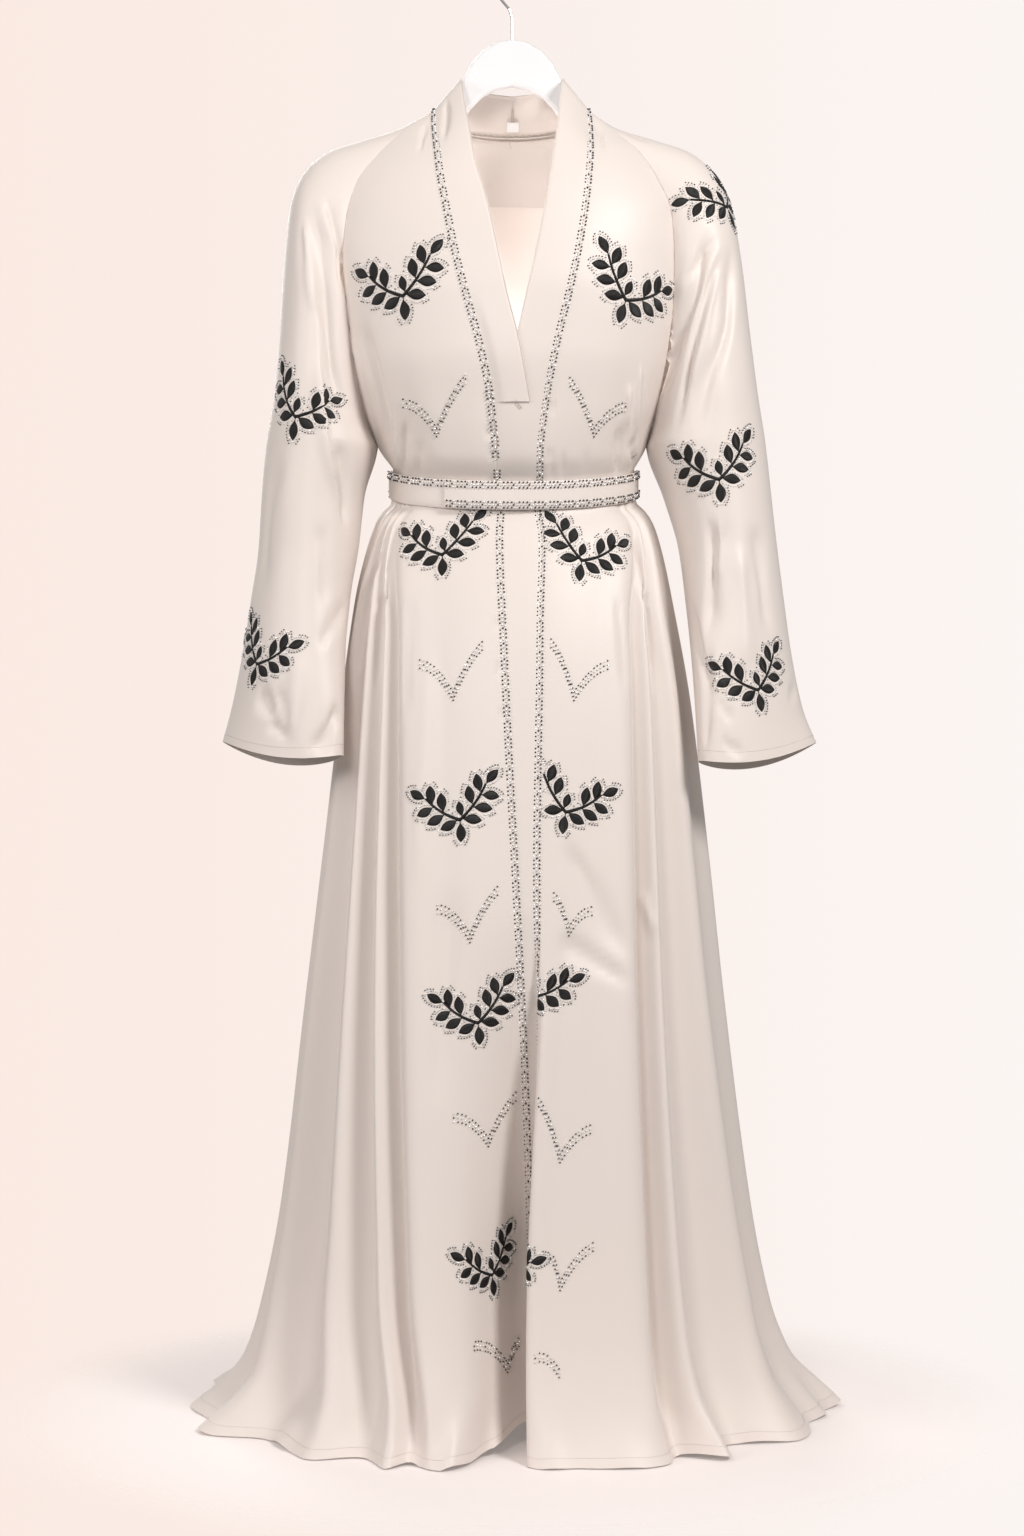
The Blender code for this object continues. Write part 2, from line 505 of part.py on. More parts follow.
def share_normals(sheets):
    """Where pieces meet at a point, their walls take one common direction."""
    meeting = {}
    for sheet in sheets:
        for index, point in enumerate(sheet.points):
            meeting.setdefault(tuple(np.round(point * POINTS_A_METRE).astype(int)), []).append((sheet, index))
    for members in meeting.values():
        own = np.array([sheet.normals[index] for sheet, index in members])
        common = unit(own.sum(axis=0))
        if len(members) > 1 and (own @ common).min() > MEETING_COSINE:
            for sheet, index in members:
                sheet.normals[index] = common


def add_object(name, points, faces, material):
    mesh = bpy.data.meshes.new(name)
    mesh.from_pydata([tuple(map(float, point)) for point in points], [], [list(map(int, f)) for f in faces])
    mesh.validate()
    mesh.materials.append(material)
    item = bpy.data.objects.new(name, mesh)
    bpy.context.collection.objects.link(item)
    mesh.shade_smooth()
    mesh.set_sharp_from_angle(angle=math.radians(40))
    return item


def make_material(name, colour, roughness, metallic=0.0):
    material = bpy.data.materials.new(name)
    material.use_nodes = True
    shader = material.node_tree.nodes["Principled BSDF"]
    shader.inputs["Base Color"].default_value = (*colour, 1.0)
    shader.inputs["Roughness"].default_value = roughness
    shader.inputs["Metallic"].default_value = metallic
    return material


def make_cloak(satin):
    """The sewn pieces, as sheets that share the points of their seams."""
    sleeve_l, sleeve_r = sleeve_rows("_l"), sleeve_rows("_r")
    upper = range(len(UPPER_LEVELS))
    total = len(FOLDS.data)
    sheets = {
        "front_right": Sheet([front_row(k, "_l") for k in upper] + skirt_rows(0, LEFT_SEAM)),
        "front_left": Sheet([front_row(k, "_r")[::-1] for k in upper]
                            + skirt_rows(RIGHT_SEAM, total - 1)),
        "back": Sheet([back_row(k) for k in upper] + skirt_rows(LEFT_SEAM, RIGHT_SEAM)),
        "sleeve_right": Sheet(sleeve_l),
        "sleeve_left": Sheet(sleeve_r),
    }
    short = []
    for row in band_rows("_l", sleeve_l):
        lift = BAND_LIFT * ease((BAND_LIFT_STARTS - row[0, 2]) / BAND_LIFT_RISE)
        short.append(row - [0, lift, 0])
    sheets["band_right"] = Sheet([row[::-1] for row in short])
    long = band_rows("_r", sleeve_r)
    for k in (UNDERARM, UNDERARM + 1):
        long.append(band_front_row(k, "_r", front_row(k, "_l")[0] + [0, 0, waist_dip(UPPER_LEVELS[k])]))
    sheets["band_left"] = Sheet(long + skirt_rows(total - 1, total))
    share_normals(list(sheets.values()))
    for name, sheet in sheets.items():
        sheet.solid(name, satin)
    return sheets


def make_facing(back, satin):
    """The facing inside the back neck: the back's own top points, moved in past its wall."""
    middle = BACK_POINTS // 2
    rows, normals = [], []
    for k, reach in enumerate(FACING_REACH):
        start = back.starts[k] + middle
        pick = np.arange(start - reach, start + reach + 1)
        rows.append(back.points[pick] - back.normals[pick] * (WALL + FACING_GAP))
        normals.append(back.normals[pick])
    rows[0][:, 2] -= FACING_DROP
    facing = Sheet(rows, wall=FACING_WALL)
    facing.normals = np.concatenate(normals)
    facing.solid("back_neck_facing", satin)


def make_label(band, white):
    """A blank label inside the band, by the centre back."""
    seam, edge = band.rows[0][0], band.rows[0][-1]
    up = unit(edge - seam)
    inward = np.array([0.0, -up[2], up[1]])
    inward *= -1 if inward[1] > 0 else 1
    across = np.array([1.0, 0.0, 0.0])
    centre = seam + up * LABEL_UP + inward * (WALL + LABEL_IN) + across * LABEL_ASIDE
    corners = []
    for out in (-0.5, 0.5):
        for high in (-0.5, 0.5):
            for side in (-0.5, 0.5):
                corners.append(centre + across * side * LABEL_WIDE + up * high * LABEL_HIGH
                               + inward * out * LABEL_THICK)
    faces = [(0, 2, 3, 1), (4, 5, 7, 6), (0, 1, 5, 4), (2, 6, 7, 3), (0, 4, 6, 2), (1, 3, 7, 5)]
    label = add_object("label", corners, faces, white)
    tidy_normals(label)


def make_belt(satin):
    """A sash wound once round the waist, its outer end lying over its start."""
    angles = np.linspace(BELT_START, BELT_END, BELT_STEPS)
    cos, sin = np.cos(angles), np.sin(angles)
    wide = np.where(cos > 0, SKIRT.at("right", BELT_LEVEL), SKIRT.at("left", BELT_LEVEL))
    deep = np.where(sin > 0, SKIRT.at("front", BELT_LEVEL), SKIRT.at("back", BELT_LEVEL))
    over = ease((angles - LAP_START) / LAP_TURN) * (BELT_WALL + LAP_GAP)
    out = BELT_EASE + BELT_WALL + over
    normal = unit(np.column_stack([cos / wide, -sin / deep, np.zeros_like(cos)]))
    plan = np.column_stack([wide * cos, -deep * sin, np.zeros_like(cos)]) + normal * out[:, None]
    rows = []
    for share in (0.0, 0.5, 1.0):
        row = plan.copy()
        row[:, 2] = BELT_TOP - share * BELT_HEIGHT - WAIST_DIP * np.maximum(sin, 0)
        rows.append(row)
    belt = Sheet(rows, wall=BELT_WALL)
    belt.solid("belt", satin)


def tidy_normals(item):
    work = bmesh.new()
    work.from_mesh(item.data)
    bmesh.ops.recalc_face_normals(work, faces=work.faces)
    work.to_mesh(item.data)
    work.free()


def hanger_outline():
    """The top and lower edges of one half of the hanger: the centre piece, then the arm.

    The arm's top edge follows the shoulder of the sleeve, just under the cloth.
    """
    top = [(x, high) for x, high in zip(HANGER_CENTRE.column("x"), HANGER_CENTRE.column("top"))]
    low = [(x, below) for x, below in zip(HANGER_CENTRE.column("x"), HANGER_CENTRE.column("low"))]
    shoulder_x = -RAGLAN.column("outer_l")[:4]
    shoulder_r = RAGLAN.column("outer_r")[:4]
    shoulder_z = RAGLAN.column("outer_z")[:4]
    for x in HANGER_ARM:
        under = min(np.interp(x, shoulder_x, shoulder_z), np.interp(x, shoulder_r, shoulder_z))
        if x < HANGER_NECK:
            under = HANGER_NECK_TOP
        top.append((x, under - (WALL + HANGER_CLEAR) * HANGER_SLOPE))
        deeper = HANGER_ROOT * (1 - (x - HANGER_ROOT_X) / HANGER_ROOT_RUN)
        low.append((x, top[-1][1] - HANGER_ARM_HEIGHT - deeper))
    tip_top = top[-1][1] - HANGER_TIP_DROP
    top.append((HANGER_TIP - HANGER_TIP_STEP, tip_top))
    low.append((HANGER_TIP - HANGER_TIP_STEP, tip_top - HANGER_TIP_HEIGHT))
    return top, low


def make_hanger(white):
    top, low = hanger_outline()
    half = top + [(HANGER_TIP, (top[-1][1] + low[-1][1]) / 2)] + low[::-1]
    outline = half + [(-x, z) for x, z in half[::-1] if x > 0]
    points = [(x, y, z) for y in (-HANGER_THICK / 2, HANGER_THICK / 2) for x, z in outline]
    count = len(outline)
    faces = [list(range(count)), list(range(2 * count - 1, count - 1, -1))]
    for k in range(count):
        after = (k + 1) % count
        faces.append([k, k + count, after + count, after])
    hanger = add_object("hanger", points, faces, white)
    tidy_normals(hanger)
    bevel = hanger.modifiers.new("rounded_edges", "BEVEL")
    bevel.width = HANGER_ROUNDING
    bevel.segments = 2
    bevel.limit_method = "ANGLE"
    bevel.angle_limit = math.radians(50)


def make_hook(steel):
    """A wire up from the hanger's top, bent to the left and round over the rail."""
    crest = HOOK_WIRE / 2
    centre = crest - HOOK_RADIUS
    foot = HANGER_CENTRE.column("top")[0] + GAP
    path = [(x, foot + up) for x, up in HOOK_STEM]
    for turn in np.linspace(*HOOK_TURN, HOOK_STEPS):
        angle = math.radians(turn)
        path.append((HOOK_RADIUS * math.cos(angle), centre + HOOK_RADIUS * math.sin(angle)))
    curve = bpy.data.curves.new("hook", "CURVE")
    curve.dimensions = "3D"
    curve.bevel_depth = HOOK_WIRE / 2
    curve.bevel_resolution = 2
    curve.use_fill_caps = True
    spline = curve.splines.new("POLY")
    spline.points.add(len(path) - 1)
    for point, (x, z) in zip(spline.points, path):
        point.co = (x, 0.0, z, 1.0)
    curve.materials.append(steel)
    hook = bpy.data.objects.new("hook", curve)
    bpy.context.collection.objects.link(hook)


def main():
    for item in list(bpy.data.objects):
        bpy.data.objects.remove(item, do_unlink=True)
    satin = make_material("champagne_satin", (0.74, 0.66, 0.60), 0.42)
    white = make_material("white_lacquer", (0.86, 0.86, 0.86), 0.35)
    ribbon = make_material("white_ribbon", (0.90, 0.89, 0.87), 0.55)
    steel = make_material("polished_steel", (0.62, 0.62, 0.63), 0.22, 1.0)
    sheets = make_cloak(satin)
    make_facing(sheets["back"], satin)
    make_label(sheets["band_left"], ribbon)
    make_belt(satin)
    make_hanger(white)
    make_hook(steel)


main()
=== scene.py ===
# %% [markdown]
# # A satin crepe abaya cloak, hanging empty on a white hanger
#
# The cloak is cut in pieces: two fronts, a back, two raglan sleeves, a neck band whose
# longer half runs down to the hem as a strip, a wrapped belt and a facing inside the neck.
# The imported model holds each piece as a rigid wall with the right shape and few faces.
# This script puts a fine, thin cloth in place of each wall, worked out from the same
# tables, then adds creases, seams, black leaf sprays and rows of small beads.
#
# Everything is in metres. X runs to the viewer's right, the front faces -Y and the origin
# is where the hook hangs on its rail.

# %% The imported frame
import math

import bpy
import numpy as np
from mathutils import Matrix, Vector
from mathutils.bvhtree import BVHTree


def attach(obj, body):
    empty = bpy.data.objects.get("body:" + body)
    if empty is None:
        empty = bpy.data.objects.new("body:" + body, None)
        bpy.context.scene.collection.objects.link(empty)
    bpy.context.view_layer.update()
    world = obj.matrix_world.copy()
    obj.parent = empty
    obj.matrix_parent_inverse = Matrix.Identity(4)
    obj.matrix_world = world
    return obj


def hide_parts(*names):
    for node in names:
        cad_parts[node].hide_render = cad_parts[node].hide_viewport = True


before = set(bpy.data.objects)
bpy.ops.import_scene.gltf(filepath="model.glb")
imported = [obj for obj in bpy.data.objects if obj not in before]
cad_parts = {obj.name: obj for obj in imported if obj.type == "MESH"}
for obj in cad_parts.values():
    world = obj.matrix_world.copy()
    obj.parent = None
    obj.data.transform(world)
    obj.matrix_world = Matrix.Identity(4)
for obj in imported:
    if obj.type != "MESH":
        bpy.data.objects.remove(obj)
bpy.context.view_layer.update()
MM = 0.001

# %% [markdown]
# ## The view
#
# The camera stands level with the middle of the cloak, 2.8 m in front of it. Small things
# such as a spray of leaves are placed by the spot where the view shows them: a sight line
# runs from the eye through that spot of the 1024 x 1536 picture and stops on the cloth.

# %% Camera and sight lines
EYE = np.array([0.0, -2.8, -0.868])
SPOT = 1.08 * MM                     # one picture point at the hanger's plane

camera = bpy.data.objects.new("camera", bpy.data.cameras.new("camera"))
bpy.context.collection.objects.link(camera)
camera.location = EYE
camera.rotation_euler = (math.pi / 2, 0, 0)
camera.data.lens = 36 * -EYE[1] / SPOT / 1536
bpy.context.scene.camera = camera


def sight_line(across, down, behind=False):
    """From the eye through a picture point; behind stands the eye on the far side."""
    eye = EYE * (1, -1 if behind else 1, 1)
    aim = np.array([(across - 512) * SPOT, 0.0, EYE[2] - (down - 768) * SPOT])
    return Vector(eye), Vector(aim - eye).normalized()


print("lens", round(camera.data.lens, 2), "mm")

# %% [markdown]
# ## Curves through tables
#
# A pattern cutter works from a size chart. So does this script: each table has named
# columns, and a smooth curve without overshoot reads it at any height.

# %% Tables
FLOOR = -1.5560
HEM = FLOOR + 1.5 * MM
WAIST_DIP = 22 * MM
BELT_TOP, BELT_HEIGHT = -0.546, 30 * MM


def ease(x):
    """0 below 0, 1 above 1, and 3x² - 2x³ between."""
    x = np.clip(x, 0.0, 1.0)
    return x * x * (3 - 2 * x)


def unit(vectors):
    """Each vector divided by its own length."""
    return vectors / np.maximum(np.linalg.norm(vectors, axis=-1, keepdims=True), 1e-12)


def cubic(a, b, ta, tb, t):
    """a(2t³-3t²+1) + ta(t³-2t²+t) + b(3t²-2t³) + tb(t³-t²), with tangents ta and tb."""
    return (a * (2 * t**3 - 3 * t**2 + 1) + ta * (t**3 - 2 * t**2 + t)
            + b * (3 * t**2 - 2 * t**3) + tb * (t**3 - t**2))


def smooth(keys, values, at):
    """Cubics through the values, level wherever they turn, held beyond both ends.

    The tangent at a key is the weighted harmonic mean of the slopes on either side.
    """
    order = np.argsort(keys)
    keys, values = np.asarray(keys, float)[order], np.asarray(values, float)[order]
    trail = (1,) * (values.ndim - 1)
    step = np.diff(keys).reshape(-1, *trail)
    slope = np.diff(values, axis=0) / step
    same = slope[:-1] * slope[1:] > 0
    first, second = step[:-1] + 2 * step[1:], 2 * step[:-1] + step[1:]
    before, after = np.where(same, slope[:-1], 1.0), np.where(same, slope[1:], 1.0)
    tangent = np.zeros_like(values)
    tangent[1:-1] = np.where(same, (first + second) / (second / before + first / after), 0.0)
    tangent[0], tangent[-1] = slope[0], slope[-1]
    at = np.clip(np.asarray(at, float), keys[0], keys[-1])
    i = np.clip(np.searchsorted(keys, at) - 1, 0, len(keys) - 2)
    t = ((at - keys[i]) / np.diff(keys)[i]).reshape(at.shape + trail)
    return cubic(values[i], values[i + 1], tangent[i] * step[i], tangent[i + 1] * step[i], t)


def lengths_along(points):
    """Arc length from a line's first point to each of its points."""
    return np.concatenate([[0], np.cumsum(np.linalg.norm(np.diff(points, axis=0), axis=1))])


def at_lengths(wanted, run, points):
    """The points of a line, straight between its own, at the wanted arc lengths."""
    return np.stack([np.interp(wanted, run, column) for column in points.T], axis=1)


class Table:
    """Rows of numbers under named columns; the first column is the key."""

    def __init__(self, names, rows):
        self.names = names.split()
        self.data = np.array(rows, float)

    def column(self, name):
        return self.data[:, self.names.index(name)]

    def at(self, name, key):
        return smooth(self.data[:, 0], self.column(name), key)


# %% The skirt's size chart and its fold lines
SKIRT = Table("z left right front back", [
    (-0.5500, 0.1285, 0.1320, 0.0840, 0.0830),
    (-0.5780, 0.1290, 0.1325, 0.0845, 0.0835),
    (-0.5940, 0.1425, 0.1465, 0.0930, 0.0930),
    (-0.6110, 0.1500, 0.1550, 0.1010, 0.1030),
    (-0.6434, 0.1600, 0.1640, 0.1100, 0.1150),
    (-0.6866, 0.1696, 0.1728, 0.1200, 0.1270),
    (-0.7946, 0.1847, 0.1922, 0.1380, 0.1490),
    (-0.9566, 0.2040, 0.2117, 0.1580, 0.1740),
    (-1.1186, 0.2236, 0.2290, 0.1800, 0.1980),
    (-1.3346, 0.2495, 0.2570, 0.2140, 0.2340),
    (-1.4426, 0.2711, 0.2786, 0.2350, 0.2550),
    (-1.4966, 0.2884, 0.3000, 0.2500, 0.2700),
    (-1.5290, 0.3150, 0.3250, 0.2620, 0.2850),
    (-1.5545, 0.3480, 0.3470, 0.2760, 0.3000),
])
# Angle of each fold line at five heights (90 is the front, 180 the viewer's left, 270 the
# back), the depth of an ordinary fold and of the turned pleat in mm, and the hem's lift
FOLD_HEIGHTS = (-0.600, -0.730, -1.010, -1.390, -1.554)
FOLDS = Table("waist hip thigh calf hem fold pleat lift", [
    (95.1, 92.9, 88.6, 84.0, 83.0, 0, -116, 18),       # strip, viewer's left edge
    (105.9, 101.5, 97.4, 95.2, 93.5, 0, -62, 8),
    (122.3, 113.9, 107.3, 102.5, 99.0, 0, -18, 0),
    (143.0, 131.6, 122.9, 112.8, 103.5, 2, 0, 0),      # outer edge of the smooth front
    (147.0, 134.0, 125.2, 115.6, 107.5, -22, 0, 0),
    (150.6, 139.0, 131.6, 120.8, 110.8, 2, 0, 0),
    (152.8, 142.5, 135.8, 126.0, 117.0, -26, 0, 0),
    (155.2, 148.6, 142.5, 135.8, 126.0, 3, 0, 0),
    (157.8, 156.0, 150.5, 147.3, 138.2, -30, 0, 0),
    (161.0, 164.5, 162.4, 161.0, 153.0, 4, 0, 0),
    (168.0, 171.5, 171.5, 171.0, 167.0, -14, 0, 0),
    (180.0, 180.0, 180.0, 180.0, 180.0, 0, 0, 0),      # side seam, viewer's left
    (188.0, 188.5, 189.0, 190.0, 191.0, -18, 0, 0),
    (194.0, 197.0, 199.0, 201.0, 202.0, 3, 0, 0),
    (198.0, 203.0, 208.0, 212.0, 214.0, -26, 0, 0),
    (202.0, 210.0, 217.0, 222.0, 226.0, 2, 0, 0),
    (205.0, 216.0, 225.0, 231.0, 236.0, -28, 0, 0),
    (209.0, 222.0, 233.0, 240.0, 245.0, 3, 0, 0),
    (214.0, 229.0, 240.0, 247.0, 252.0, -22, 0, 0),
    (224.0, 238.0, 248.0, 254.0, 259.0, 2, 0, 0),
    (262.0, 265.0, 267.0, 268.0, 269.0, -12, 0, 0),    # trough down the centre back
    (312.0, 300.0, 290.0, 284.0, 279.0, 2, 0, 0),
    (321.0, 309.0, 299.0, 292.0, 288.0, -20, 0, 0),
    (327.0, 317.0, 307.0, 300.0, 296.0, 3, 0, 0),
    (331.0, 323.0, 315.0, 309.0, 306.0, -27, 0, 0),
    (335.0, 330.0, 324.0, 319.0, 316.0, 2, 0, 0),
    (339.0, 337.0, 333.0, 329.0, 327.0, -24, 0, 0),
    (344.0, 345.0, 343.0, 340.0, 339.0, 3, 0, 0),
    (351.0, 352.0, 352.0, 351.0, 350.0, -16, 0, 0),
    (360.0, 360.0, 360.0, 360.0, 360.0, 0, 0, 0),      # side seam, viewer's right
    (373.0, 375.5, 376.0, 375.5, 379.0, -15, 0, 0),
    (380.0, 386.5, 389.0, 386.5, 392.0, 4, 0, 0),
    (383.6, 394.8, 399.4, 403.0, 405.0, -30, 0, 0),
    (386.8, 399.8, 406.7, 411.3, 413.0, 3, 0, 0),
    (390.5, 404.6, 411.6, 416.6, 419.3, -26, 0, 0),
    (394.5, 408.2, 415.0, 419.6, 423.0, 2, 0, 0),      # outer edge of the smooth front
    (413.0, 422.0, 427.0, 430.0, 431.0, 0, -3, 0),
    (427.0, 432.0, 436.0, 438.5, 439.0, 0, -12, 0),
    (433.6, 436.8, 440.8, 446.6, 447.4, 0, -22, 0),    # turned edge of the centre pleat
    (435.6, 438.8, 442.0, 445.4, 445.9, 0, -41, 2),
    (438.1, 440.8, 443.2, 439.6, 439.0, 0, -112, 4),   # strip, viewer's right edge
])
FOLD_GROWTH = Table("z share", [
    (-0.566, 0.03), (-0.600, 0.12), (-0.660, 0.28), (-0.730, 0.40),
    (-1.010, 0.68), (-1.390, 0.95), (-1.554, 1.08),
])
PLEAT_GROWTH = Table("z share", [
    (-0.900, 0.0), (-1.010, 0.02), (-1.100, 0.13), (-1.200, 0.38), (-1.390, 0.80), (-1.554, 1.0),
])
LEFT_SEAM, RIGHT_SEAM, LAST_FOLD = 11, 29, len(FOLDS.data)
print(LAST_FOLD, "fold lines")

# %% The upper cloak's size charts
# Columns ending in _l are the viewer's left, in _r the viewer's right
UPPER = Table("z neck_l neck_r neck_y front_l front_r front_y back_x back_y centre_y full", [
    (-0.1638, -0.0832, 0.0812, -0.021, -0.0848, 0.0838, -0.018, 0.0800, 0.028, 0.058, 0.3),
    (-0.1844, -0.0822, 0.0826, -0.038, -0.1147, 0.1068, -0.026, 0.1070, 0.040, 0.068, 0.3),
    (-0.2114, -0.0794, 0.0828, -0.064, -0.1404, 0.1352, -0.038, 0.1320, 0.049, 0.077, 0.3),
    (-0.2438, -0.0755, 0.0808, -0.085, -0.1640, 0.1552, -0.047, 0.1540, 0.056, 0.085, 0.4),
    (-0.2816, -0.0687, 0.0767, -0.099, -0.1750, 0.1693, -0.053, 0.1680, 0.060, 0.091, 0.5),
    (-0.3248, -0.0605, 0.0699, -0.109, -0.1790, 0.1715, -0.056, 0.1700, 0.061, 0.095, 0.5),
    (-0.3734, -0.0485, 0.0595, -0.115, -0.1755, 0.1709, -0.054, 0.1680, 0.058, 0.096, 0.6),
    (-0.4274, -0.0333, 0.0460, -0.115, -0.1690, 0.1650, -0.045, 0.1630, 0.049, 0.094, 0.7),
    (-0.4760, -0.0213, 0.0350, -0.108, -0.1595, 0.1560, -0.029, 0.1550, 0.032, 0.091, 0.8),
    (-0.5213, -0.0158, 0.0292, -0.098, -0.1447, 0.1447, 0.000, 0.1447, 0.000, 0.087, 0.9),
    (-0.5440, -0.0156, 0.0293, -0.083, -0.1285, 0.1320, 0.000, 0.1290, 0.000, 0.083, 1.0),
])
UNDERARM = 9
RAGLAN = Table("outer_l outer_r outer_z reach", [
    (-0.0850, 0.0825, -0.1605, 50), (-0.1156, 0.1100, -0.1768, 60),
    (-0.1588, 0.1530, -0.1905, 75), (-0.1955, 0.1890, -0.2025, 90),
    (-0.2225, 0.2160, -0.2243, 105), (-0.2376, 0.2355, -0.2600, 118),
    (-0.2452, 0.2480, -0.3270, 128), (-0.2495, 0.2560, -0.3950, 141),
    (-0.2549, 0.2650, -0.4650, 157), (-0.2657, 0.2745, -0.5280, 180),
])
UNDERARM_DEPTH = 77 * MM
ARM = Table("outer_l outer_z_l inner_l inner_z_l outer_r outer_z_r inner_r inner_z_r "
            "half_depth forward turn", [
    (-0.2700, -0.5786, -0.1590, -0.5740, 0.2800, -0.5786, 0.1640, -0.5780, 0.074, 0.002, 0.002),
    (-0.2732, -0.6326, -0.1645, -0.6290, 0.2860, -0.6326, 0.1790, -0.6326, 0.069, 0.008, 0.006),
    (-0.2808, -0.6866, -0.1725, -0.6840, 0.2925, -0.6866, 0.1850, -0.6866, 0.063, 0.018, 0.012),
    (-0.2905, -0.7500, -0.1765, -0.7480, 0.3010, -0.7500, 0.1900, -0.7500, 0.056, 0.032, 0.021),
    (-0.3010, -0.8050, -0.1765, -0.8040, 0.3120, -0.8050, 0.1930, -0.8100, 0.049, 0.045, 0.028),
    (-0.3100, -0.8400, -0.1765, -0.8550, 0.3260, -0.8410, 0.1950, -0.8610, 0.044, 0.052, 0.031),
])
CUFF_SAG, CUFF_TILT = 13 * MM, 4 * MM
BAND_FRONT = Table("z edge_l edge_r edge_y edge_z", [
    (-0.1638, -0.0536, 0.0535, -0.020, -0.1300), (-0.1844, -0.0502, 0.0510, -0.040, -0.1560),
    (-0.2114, -0.0445, 0.0470, -0.064, -0.1920), (-0.2438, -0.0375, 0.0410, -0.086, -0.2330),
    (-0.2816, -0.0255, 0.0345, -0.103, -0.2760), (-0.3248, -0.0155, 0.0260, -0.114, -0.3230),
    (-0.3734, -0.0050, 0.0150, -0.120, -0.3730), (-0.4274, 0.0088, 0.0020, -0.120, -0.4274),
    (-0.4760, 0.0195, -0.0150, -0.113, -0.4760),
])
BAND_NECK_TOP = Table("share x y z", [
    (0.00, 0.0000, 0.044, -0.1316), (0.30, 0.0330, 0.039, -0.1285), (0.55, 0.0500, 0.024, -0.1250),
    (0.80, 0.0560, 0.002, -0.1240), (1.00, 0.0549, -0.012, -0.1268),
])
BAND_LIFT, BAND_CROWN, BAND_BOW, BACK_NECK_DROP = 1.9 * MM, 2.5 * MM, 5.5 * MM, 8 * MM
BAND_FOOT = -0.4760                  # the shorter band ends here
FOOT_EASE = 0.045                    # above it the longer one turns into the strip

# %% [markdown]
# ## The skirt
#
# A skirt gathered into a waist hangs in folds that open downwards. Each fold line here
# runs from waist to hem, a ridge or a valley by turns, and a smooth closed curve joins
# them at every height. Laying the rows out by fold line keeps each fold crisp, which
# evenly spaced points would blur.

# %% Rows round the skirt
def waist_dip(level):
    """How far the cloth round the belt hangs lower at the front."""
    return WAIST_DIP * ease((-0.40 - level) / 0.14) * ease((level + 0.76) / 0.16)


def through_folds(knots, steps):
    """Closed rows through the knots, steps points a gap, with tangents for uneven gaps.

    A tangent is each neighbour's chord over its own length, weighted by the other's length.
    """
    ahead = np.roll(knots, -1, axis=1) - knots
    length = np.linalg.norm(ahead[..., :2], axis=2, keepdims=True)
    behind, shorter = np.roll(ahead, 1, axis=1), np.roll(length, 1, axis=1)
    tangent = (ahead / length * shorter + behind / shorter * length) / (length + shorter)
    t = (np.arange(steps) / steps)[None, None, :, None]
    ends = (knots, np.roll(knots, -1, axis=1), tangent * length, np.roll(tangent, -1, axis=1) * length)
    return cubic(*(end[:, :, None] for end in ends), t).reshape(len(knots), -1, 3)


def pushed_ellipse(angle, level, out):
    """The ellipse of the skirt's size at a level, each point moved out along its normal."""
    cos, sin = np.cos(angle), np.sin(angle)
    wide = np.where(cos > 0, SKIRT.at("right", level), SKIRT.at("left", level))
    deep = np.where(sin > 0, SKIRT.at("front", level), SKIRT.at("back", level))
    plan = np.stack([wide * cos, -deep * sin], axis=-1)
    return plan + unit(np.stack([cos / wide, -sin / deep], axis=-1)) * out[..., None]


def skirt_rows(first, last, levels, steps):
    """Rows from one fold line to another: an ellipse by angle, plus each fold's depth."""
    angle = np.radians(smooth(FOLD_HEIGHTS, FOLDS.data[:, :5].T, levels))
    out = MM * (FOLDS.column("fold") * FOLD_GROWTH.at("share", levels)[:, None]
                + FOLDS.column("pleat") * PLEAT_GROWTH.at("share", levels)[:, None])
    plan = pushed_ellipse(angle, levels[:, None], out)
    lift = FOLDS.column("lift") * MM * ease((-1.40 - levels) / 0.15)[:, None]
    height = levels[:, None] + lift - waist_dip(levels)[:, None] * np.maximum(np.sin(angle), 0)
    ring = through_folds(np.concatenate([plan, height[..., None]], axis=-1), steps)
    return ring[:, np.arange(first * steps, last * steps + 1) % ring.shape[1]]


skirt_levels = np.linspace(-0.562, HEM, 142)
print("skirt", skirt_rows(0, LAST_FOLD, skirt_levels, 4).shape)

# %% [markdown]
# ## The upper cloak
#
# Above the belt the fronts and the back run up to slanting raglan seams. Each row blends
# a straight run with a quarter turn, and near the waist it becomes the ellipse under the
# belt. The rows use the skirt's column spacing at the waist, so the folds run on upwards.

# %% Upper rows
GATHER = 3.0 * MM


def gathers(share, levels, count):
    """Small gathers that open upwards from the belt, deepest towards the side seam."""
    near = ease((-0.40 - levels) / 0.13) * (1 - ease((-0.540 - levels) / 0.02))
    return -GATHER * near * ease(share / 0.5) * (0.5 - 0.5 * np.cos(2 * np.pi * count * share))


def upper(name, levels):
    return UPPER.at(name, levels)[:, None]


def front_rows(side, levels, u):
    """Rows across an upper front, from the band's seam at u = 0 to the raglan at u = 1."""
    z = levels[:, None]
    full, neck, seam = upper("full", levels), upper("neck" + side, levels), upper("front" + side, levels)
    across = (1 - full) * u + full * np.sin(u * np.pi / 2)
    behind = (1 - full) * (1 - u) + full * np.cos(u * np.pi / 2)
    turn = np.arccos(neck / seam)
    round_share = ease((BAND_FOOT - z) / 0.068)
    x = neck + (seam - neck) * across
    x = x + (seam * np.cos(turn * (1 - u)) - x) * round_share
    behind = behind + (np.sin(turn * (1 - u)) / np.sin(turn) - behind) * round_share
    y = upper("front_y", levels)
    y = y + (upper("neck_y", levels) - y) * behind - gathers(u, z, 3)
    return np.stack([x, y, z - waist_dip(z) * behind], axis=-1)


